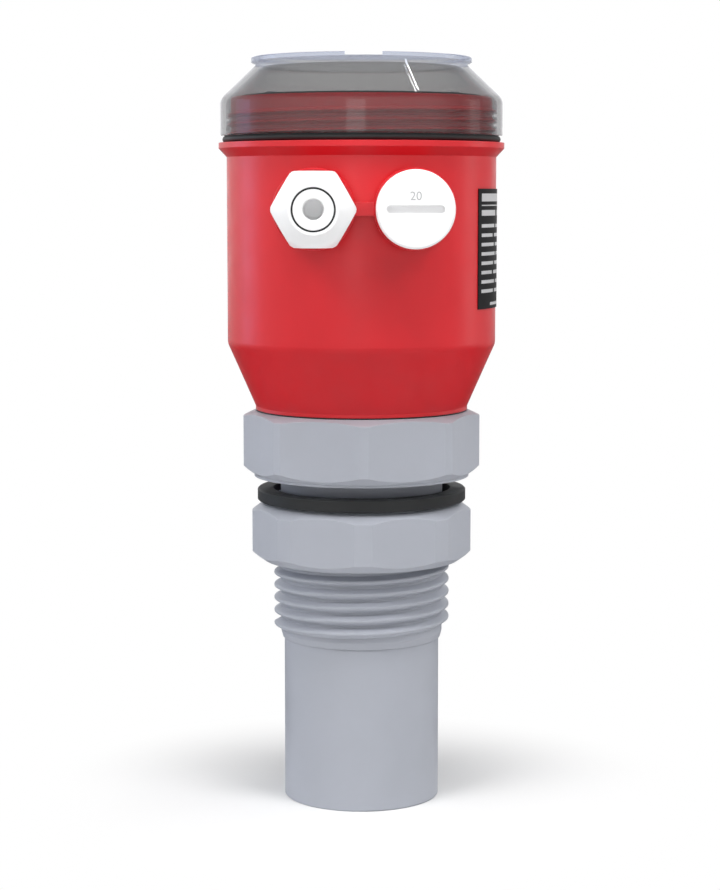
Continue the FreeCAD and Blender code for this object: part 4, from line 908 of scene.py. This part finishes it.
@dataclass
class RatingLabel:
    """Ruled print on the dark label, wrapped round the housing.

    Attributes:
        palette: The materials.
        radius: Outside radius of the label's film.
        high: Upper edge of the label.
        film: Thickness of the print.
        heading: Bars of the heading.
        footing: The bar at the foot.
        line_start: The first line under the upper edge.
        line_pitch: Distance from line to line.
        line_height: Height of a line.
        word_gap: Gap between a line's two words, in degrees.
        word_ends: Where the two words of each line end, in degrees.
    """

    palette: Palette
    radius: float = 46.35 * MM
    high: float = 210.7 * MM
    film: float = 0.03 * MM
    heading: tuple[Bar, ...] = (
        Bar(2.6 * MM, 2.6 * MM, -PRINT_EDGE, -2.0),
        Bar(2.6 * MM, 1.2 * MM, 4.0, PRINT_EDGE),
        Bar(5.2 * MM, 0.35 * MM, -PRINT_EDGE, PRINT_EDGE),
        Bar(7.7 * MM, 1.9 * MM, -PRINT_EDGE, -14.0),
        Bar(7.7 * MM, 1.9 * MM, -10.0, 16.0),
    )
    footing: Bar = Bar(38.1 * MM, 1.0 * MM, -22.0, 22.0)
    line_start: float = 12.0 * MM
    line_pitch: float = 3.1 * MM
    line_height: float = 1.15 * MM
    word_gap: float = 2.5
    word_ends: tuple[Span, ...] = (
        (-16, 9), (-19, 14), (-17, 6), (-15, 18), (-18, 11), (-20, 8), (-16, 20), (-18, 5),
    )

    def lines(self) -> list[Bar]:
        """The lines of print, two words each.

        Returns:
            Their bars, from the top down.
        """
        words = []
        for row, (first, second) in enumerate(self.word_ends):
            below = self.line_start + self.line_pitch * row
            words.append(Bar(below, self.line_height, -PRINT_EDGE, first))
            words.append(Bar(below, self.line_height, first + self.word_gap, second))
        return words

    def printed(self, bar: Bar) -> Piece:
        """A bar that follows the housing.

        Args:
            bar: Its place and size.

        Returns:
            The piece.
        """
        at = (self.radius + self.film / 4, 0, self.high - bar.below)
        piece = Bench.plate("bar", self.film, bar.height, at, (math.pi / 2, 0, 0))
        Bench.put(piece, (0, 0, math.radians(bar.start)))
        angle = bar.end - bar.start
        Bench.spun(piece, (0, 0, 0), (0, 0, 1), math.radians(angle), max(2, round(angle / 2)))
        return piece

    def build(self) -> None:
        """Builds the print as one piece."""
        bars = (*self.heading, *self.lines(), self.footing)
        piece = Bench.join("label_print", [self.printed(bar) for bar in bars])
        self.palette.dress(piece, "white_print", "label_plate", "sensor")


@dataclass
class Reading:
    """Digits and level bars on the glass of the display.

    Attributes:
        palette: The materials.
        figures: What the display shows.
        middle: Middle of the figures along Y.
        glass_z: Top of the glass.
        film: Thickness of a digit.
        digit_height: Height of a digit.
        digit_width: Width of a digit.
        digit_pitch: Distance from digit to digit.
        stroke: Width of a segment.
        joint: Gap between two segments.
        point_r: Radius of the decimal point.
        levels: How many level bars it shows.
        level_at: Middle of the first level bar.
        level_size: Width and depth of a level bar.
        level_pitch: Distance from bar to bar.
    """

    palette: Palette
    figures: str = "245"
    middle: float = 4.8 * MM
    glass_z: float = 239.6 * MM
    film: float = 0.04 * MM
    digit_height: float = 10.0 * MM
    digit_width: float = 5.2 * MM
    digit_pitch: float = 8.0 * MM
    stroke: float = 1.1 * MM
    joint: float = 0.3 * MM
    point_r: float = 0.65 * MM
    levels: int = 10
    level_at: Span = (-14.95 * MM, -5.4 * MM)
    level_size: Span = (1.8 * MM, 1.4 * MM)
    level_pitch: float = 2.3 * MM

    def segment(self, length: float) -> Piece:
        """One pointed bar of a digit, along X at the origin.

        Args:
            length: Its whole length.

        Returns:
            The bar.
        """
        flat = length - self.stroke
        inner = flat * 0.49  # beyond this lies only the edge of one end
        bar = Bench.plate("segment", flat, self.stroke, (0, 0, 0))
        for side in (-1, 1):
            Bench.pick(bar, Part.EDGE, lambda place, way: place.x * side > inner)
            bpy.ops.mesh.extrude_region_move(
                TRANSFORM_OT_translate={"value": (side * self.stroke / 2, 0, 0)}
            )
            bpy.ops.mesh.merge(type="CENTER")
        Bench.thicken(bar, (0, 0, self.film))
        return bar

    def digits(self) -> list[Piece]:
        """The figures in seven-segment digits.

        Returns:
            Their segments.
        """
        # The segments' letters run clockwise from the top one, and g lies in the middle.
        lit = {"2": "abged", "4": "fgbc", "5": "afgcd"}
        half, up = self.digit_width / 2, self.digit_height / 2
        level = self.segment(self.digit_width - self.joint)
        upright = self.segment(up - self.joint)
        Bench.put(upright, (0, 0, math.pi / 2))
        places = {
            "a": (level, 0, up), "g": (level, 0, 0), "d": (level, 0, -up),
            "f": (upright, -half, up / 2), "b": (upright, half, up / 2),
            "e": (upright, -half, -up / 2), "c": (upright, half, -up / 2),
        }
        made = []
        for column, figure in enumerate(self.figures):
            start = (column - 1.0) * self.digit_pitch
            for letter in lit[figure]:
                model, across, along = places[letter]
                bar = Bench.copy(model)
                Bench.put(bar, at=(start + across, self.middle + along, self.glass_z))
                made.append(bar)
        for model in (level, upright):
            bpy.data.objects.remove(model)
        return made

    def point(self) -> Piece:
        """The decimal point behind the first digit.

        Returns:
            The piece.
        """
        point = Bench.disc("point", self.point_r, sides=16)
        Bench.thicken(point, (0, 0, self.film))
        low = self.middle - self.digit_height / 2
        Bench.put(point, at=(-self.digit_pitch / 2, low, self.glass_z))
        return point

    def level_bars(self) -> list[Piece]:
        """The row of level bars under the digits.

        Returns:
            The bars.
        """
        made = []
        first, along = self.level_at
        for step in range(self.levels):
            at = (first + step * self.level_pitch, along, self.glass_z)
            bar = Bench.plate("bar", *self.level_size, at)
            Bench.thicken(bar, (0, 0, self.film))
            made.append(bar)
        return made

    def build(self) -> None:
        """Builds the reading as one piece."""
        made = [*self.digits(), self.point(), *self.level_bars()]
        piece = Bench.join("display_digits", made)
        self.palette.dress(piece, "dark_print", "display_glass", "sensor")


@dataclass
class FrontPanel:
    """Print of the front panel under the lid, and a dark ring on its edge.

    Attributes:
        palette: The materials.
        top: Top of the panel.
        film: Thickness of the print.
        line: Width of a printed line.
        window_y: Middle of the display window.
        window_size: Width and depth of the line round it.
        window_corner: Size of that line's corners.
        keys: How many keys there are.
        key_pitch: Distance from key to key.
        figure_y: Middle of the keys' numbers.
        figure_height: Their height.
        figure_lift: Middle of their thickness over the panel.
        dash_x: Middle of the dashes on both sides of them.
        dash_length: Length of a dash.
        dark_ring_r: Middle radius of the dark ring on the panel's edge.
        dark_ring_size: Its width and height.
        dark_ring_corner: Size of its rounded corners.
    """

    palette: Palette
    top: float = 241.0 * MM
    film: float = 0.03 * MM
    line: float = 0.5 * MM
    window_y: float = 3.0 * MM
    window_size: Span = (42.0 * MM, 25.0 * MM)
    window_corner: float = 2.2 * MM
    keys: int = 3
    key_pitch: float = 5.1 * MM
    figure_y: float = -25.6 * MM
    figure_height: float = 3.0 * MM
    figure_lift: float = 0.01 * MM
    dash_x: float = 12.5 * MM
    dash_length: float = 6.0 * MM
    dark_ring_r: float = 40.2 * MM
    dark_ring_size: Span = (1.4 * MM, 1.4 * MM)
    dark_ring_corner: float = 0.28 * MM

    def window_line(self) -> Piece:
        """The printed line round the display window.

        Returns:
            The piece.
        """
        line = Bench.plate("window_line", *self.window_size, (0, self.window_y, self.top))
        Bench.pick(line, Part.VERTEX)
        bpy.ops.mesh.bevel(offset=self.window_corner, segments=5, affect="VERTICES")
        Bench.pick(line, Part.FACE)
        bpy.ops.mesh.inset(thickness=self.line, depth=0)
        bpy.ops.mesh.delete(type="FACE")
        Bench.thicken(line, (0, 0, self.film))
        return line

    def panel_print(self) -> None:
        """The window's line and the numbers of the keys."""
        made = [self.window_line()]
        for key in range(self.keys):
            figure = Bench.words("figure", str(key + 1), self.figure_height, self.film / 2)
            across = (key - (self.keys - 1) / 2) * self.key_pitch
            Bench.put(figure, at=(across, self.figure_y, self.top + self.figure_lift))
            made.append(figure)
        for side in (-1, 1):
            at = (side * self.dash_x, self.figure_y, self.top)
            dash = Bench.plate("dash", self.dash_length, self.line, at)
            Bench.thicken(dash, (0, 0, self.film))
            made.append(dash)
        printed = Bench.join("panel_print", made)
        self.palette.dress(printed, "dark_print", "panel_face", "sensor")

    def dark_ring(self) -> None:
        """A dark ring that stands just over the neck's edge."""
        width, height = self.dark_ring_size
        at = (self.dark_ring_r, 0, self.top + height / 2)
        ring = Bench.plate("panel_dark_ring", width, height, at, (math.pi / 2, 0, 0))
        Bench.pick(ring, Part.VERTEX)
        bpy.ops.mesh.bevel(offset=self.dark_ring_corner, segments=3, affect="VERTICES")
        Bench.spun(ring, (0, 0, 0), (0, 0, 1), math.tau, steps=120)
        self.palette.dress(ring, "black_plastic", "black_plastic", "sensor")

    def build(self) -> None:
        """Builds all its pieces."""
        self.panel_print()
        self.dark_ring()


@dataclass(frozen=True)
class Lamp:
    """One soft lamp.

    Attributes:
        name: Name of the lamp.
        at: Where it stands.
        aim: What it is turned to.
        size: Its width and height.
        level: How brightly it alone would show white paper at the aim, 1 for white.
        tint: Colour of its light.
        mirrored: Whether reflections show it.
    """

    name: str
    at: Point
    aim: Point
    size: Span
    level: float
    tint: Colour = (1.0, 1.0, 1.0)
    mirrored: bool = True

    def build(self) -> None:
        """Puts the lamp in the scene."""
        light = bpy.data.lights.new(self.name, "AREA")
        light.shape = "RECTANGLE"
        light.size, light.size_y = self.size
        light.color = self.tint
        way = Vector(self.aim) - Vector(self.at)
        # On its axis a flat lamp of this power lights white paper at the aim to the level.
        light.energy = self.level * math.pi**2 * way.length_squared
        lamp = bpy.data.objects.new(self.name, light)
        lamp.visible_glossy = self.mirrored
        lamp.location = self.at
        lamp.rotation_euler = way.to_track_quat("-Z", "Y").to_euler()
        bpy.context.scene.collection.objects.link(lamp)


MIDDLE = (0.0, 0.0, 150 * MM)  # what the lamps are turned to
LID = (0.0, 0.0, 235 * MM)
LAMPS = (
    Lamp("front_left", (-0.80, -0.75, 1.10), MIDDLE, (0.7, 0.6), 0.43, mirrored=False),
    Lamp("front_right", (0.80, -0.75, 1.10), MIDDLE, (0.7, 0.6), 0.41, mirrored=False),
    Lamp("top_front", (0.0, -0.42, 1.40), MIDDLE, (0.9, 0.35), 0.72, mirrored=False),
    Lamp("back_right", (1.1, 0.55, 0.45), MIDDLE, (0.4, 1.0), 0.20, mirrored=False),
    Lamp("left_strip", (-1.40, 0.54, 0.29), LID, (0.55, 0.6), 0.07, (0.40, 0.60, 1.0)),
    Lamp("front_strip", (-0.153, -1.59, 0.30), LID, (0.42, 0.30), 0.020),
    Lamp("right_strip", (1.45, 0.30, 0.29), LID, (0.35, 0.6), 0.035, (1.0, 0.98, 0.96)),
    Lamp("lid_streak", (0.531, 0.343, 1.604), (0.016, -0.038, 0.248), (0.050, 0.018), 0.008),
)


@dataclass(frozen=True)
class Surroundings:
    """How bright the surroundings are towards each side, 1 for white.

    A direction has the length 1, and its parts along X, Y and Z tell where one level begins to pass
    into the next and where it has done so.

    Attributes:
        left: Level near the horizon on the left.
        right: Level near the horizon on the right.
        front: Level near the horizon behind the camera.
        back: Level near the horizon behind the object.
        above: Level high above.
        front_at: Part along Y up to which the front's level is full, and where it ends.
        side_at: Part along X, to either side, where a side's level begins and is full.
        above_at: Part along Z where the level above begins and is full.
    """

    left: float
    right: float
    front: float
    back: float
    above: float
    front_at: Span
    side_at: Span = (0.2, 0.7)
    above_at: Span = (0.25, 0.65)

    def strength(self, tree: Tree) -> Socket:
        """The brightness by direction.

        Args:
            tree: The tree of a world.

        Returns:
            The brightness.
        """
        across, along, up = tree.add("ShaderNodeSeparateXYZ", {0: tree.way}).outputs
        start, full = self.side_at
        level = tree.between(tree.spread(across, -start, -full, eased=True), self.back, self.left)
        level = tree.between(tree.spread(across, start, full, eased=True), level, self.right)
        level = tree.between(tree.spread(along, *self.front_at, eased=True), self.front, level)
        return tree.between(tree.spread(up, *self.above_at, eased=True), level, self.above)


@dataclass
class Studio:
    """Camera, lamps, bright surroundings and the pale floor.

    Attributes:
        focal: Focal length in pixels of the 720 by 890 frame.
        frame_height: Height of that frame in pixels.
        axis_shift: How many pixels right of the middle the object's axis stands.
        distance: From the camera to the axis.
        camera_z: Height of the camera.
        left: Degrees that the camera stands to the left of the front.
        pitch: Degrees that it looks down.
        sensor: Film size, millimetres.
        clip: Nearest and farthest that the camera sees.
        light: The surroundings as they light the object.
        light_tint: Colour of that light.
        shine: The surroundings as a reflection shows them.
        floor_paint: Colour of the floor.
        floor_reach: Half the size of the floor.
        floor_shine: Brightness of the near and the far floor as a reflection shows it.
        shine_fade: From where to where the near floor's brightness passes into the far one's.
        fade: From where to where the floor passes into the white backdrop.
    """

    focal: float = 2216.1
    frame_height: float = 890.0
    axis_shift: float = 1.5
    distance: float = 763.3 * MM
    camera_z: float = 209.2 * MM
    left: float = 1.05
    pitch: float = 6.458
    sensor: float = 36.0
    clip: Span = (0.01, 20.0)
    light: Surroundings = Surroundings(
        left=1.5, right=0.35, front=0.17, back=0.9, above=0.05, front_at=(-0.3, 0.1)
    )
    light_tint: Paint = (0.98, 0.99, 1.0, 1.0)
    shine: Surroundings = Surroundings(
        left=0.85, right=0.35, front=1.3, back=1.1, above=0.2, front_at=(-0.6, 0.1)
    )
    floor_paint: Paint = (0.80, 0.80, 0.80, 1.0)
    floor_reach: float = 3.0
    floor_shine: Span = (0.03, 0.4)
    shine_fade: Span = (0.35, 1.2)
    fade: Span = (0.03, 0.12)

    def camera(self) -> None:
        """Sets the camera at the photograph's place and angle."""
        data = bpy.data.cameras.new("camera")
        data.sensor_width = self.sensor
        data.lens = self.focal * self.sensor / self.frame_height
        data.shift_x = -self.axis_shift / self.frame_height
        data.clip_start, data.clip_end = self.clip
        camera = bpy.data.objects.new("camera", data)
        aside = math.radians(self.left)
        across, along = math.sin(aside), math.cos(aside)
        camera.location = (-self.distance * across, -self.distance * along, self.camera_z)
        camera.rotation_euler = (math.radians(90 - self.pitch), 0, -aside)
        bpy.context.scene.collection.objects.link(camera)
        bpy.context.scene.camera = camera

    def surroundings(self) -> None:
        """White to look at, and brighter on some sides as light and in reflections."""
        tree = Tree(bpy.data.worlds.new("surroundings"))
        glow = {"Color": self.light_tint, "Strength": self.light.strength(tree)}
        lit = tree.add("ShaderNodeBackground", glow)
        glossy = tree.add("ShaderNodeLightPath").outputs["Is Glossy Ray"]
        strength = tree.between(glossy, 1.0, self.shine.strength(tree))
        white = tree.add("ShaderNodeBackground", {"Color": WHITE_LIGHT, "Strength": strength})
        bpy.context.scene.world = tree.finish(tree.overlay(tree.seen(), lit, white))

    def floor(self) -> None:
        """A pale floor that keeps the soft shadow and passes into the white backdrop."""
        Bench.clear()
        bpy.ops.mesh.primitive_plane_add(size=2 * self.floor_reach)
        floor = Bench.settle("floor")
        tree = Tree(bpy.data.materials.new("floor_paint"))
        paint = tree.add("ShaderNodeBsdfDiffuse", {"Color": self.floor_paint})
        length = tree.add("ShaderNodeVectorMath", {0: tree.place}, operation="LENGTH")
        reach = length.outputs["Value"]
        glossy = tree.add("ShaderNodeLightPath").outputs["Is Glossy Ray"]
        shine = tree.spread(reach, *self.shine_fade, self.floor_shine, eased=True)
        strength = tree.between(glossy, 1.0, shine)
        white = tree.add("ShaderNodeEmission", {"Color": WHITE_LIGHT, "Strength": strength})
        share = tree.join("MULTIPLY", tree.spread(reach, *self.fade, eased=True), tree.seen())
        floor.data.materials.append(tree.finish(tree.overlay(share, paint, white)))

    def build(self) -> None:
        """Builds the whole stage."""
        bpy.context.scene.view_settings.view_transform = "Standard"
        self.camera()
        self.surroundings()
        self.floor()
        for lamp in LAMPS:
            lamp.build()


def main() -> None:
    """Builds the stage, dresses the solids and adds the fine pieces."""
    logging.basicConfig(level=logging.INFO, format="%(message)s")
    Studio().build()
    palette = Palette()
    palette.dress_solids()
    CableEntries(palette).build()
    RatingLabel(palette).build()
    Reading(palette).build()
    FrontPanel(palette).build()


if __name__ == "__main__":
    main()
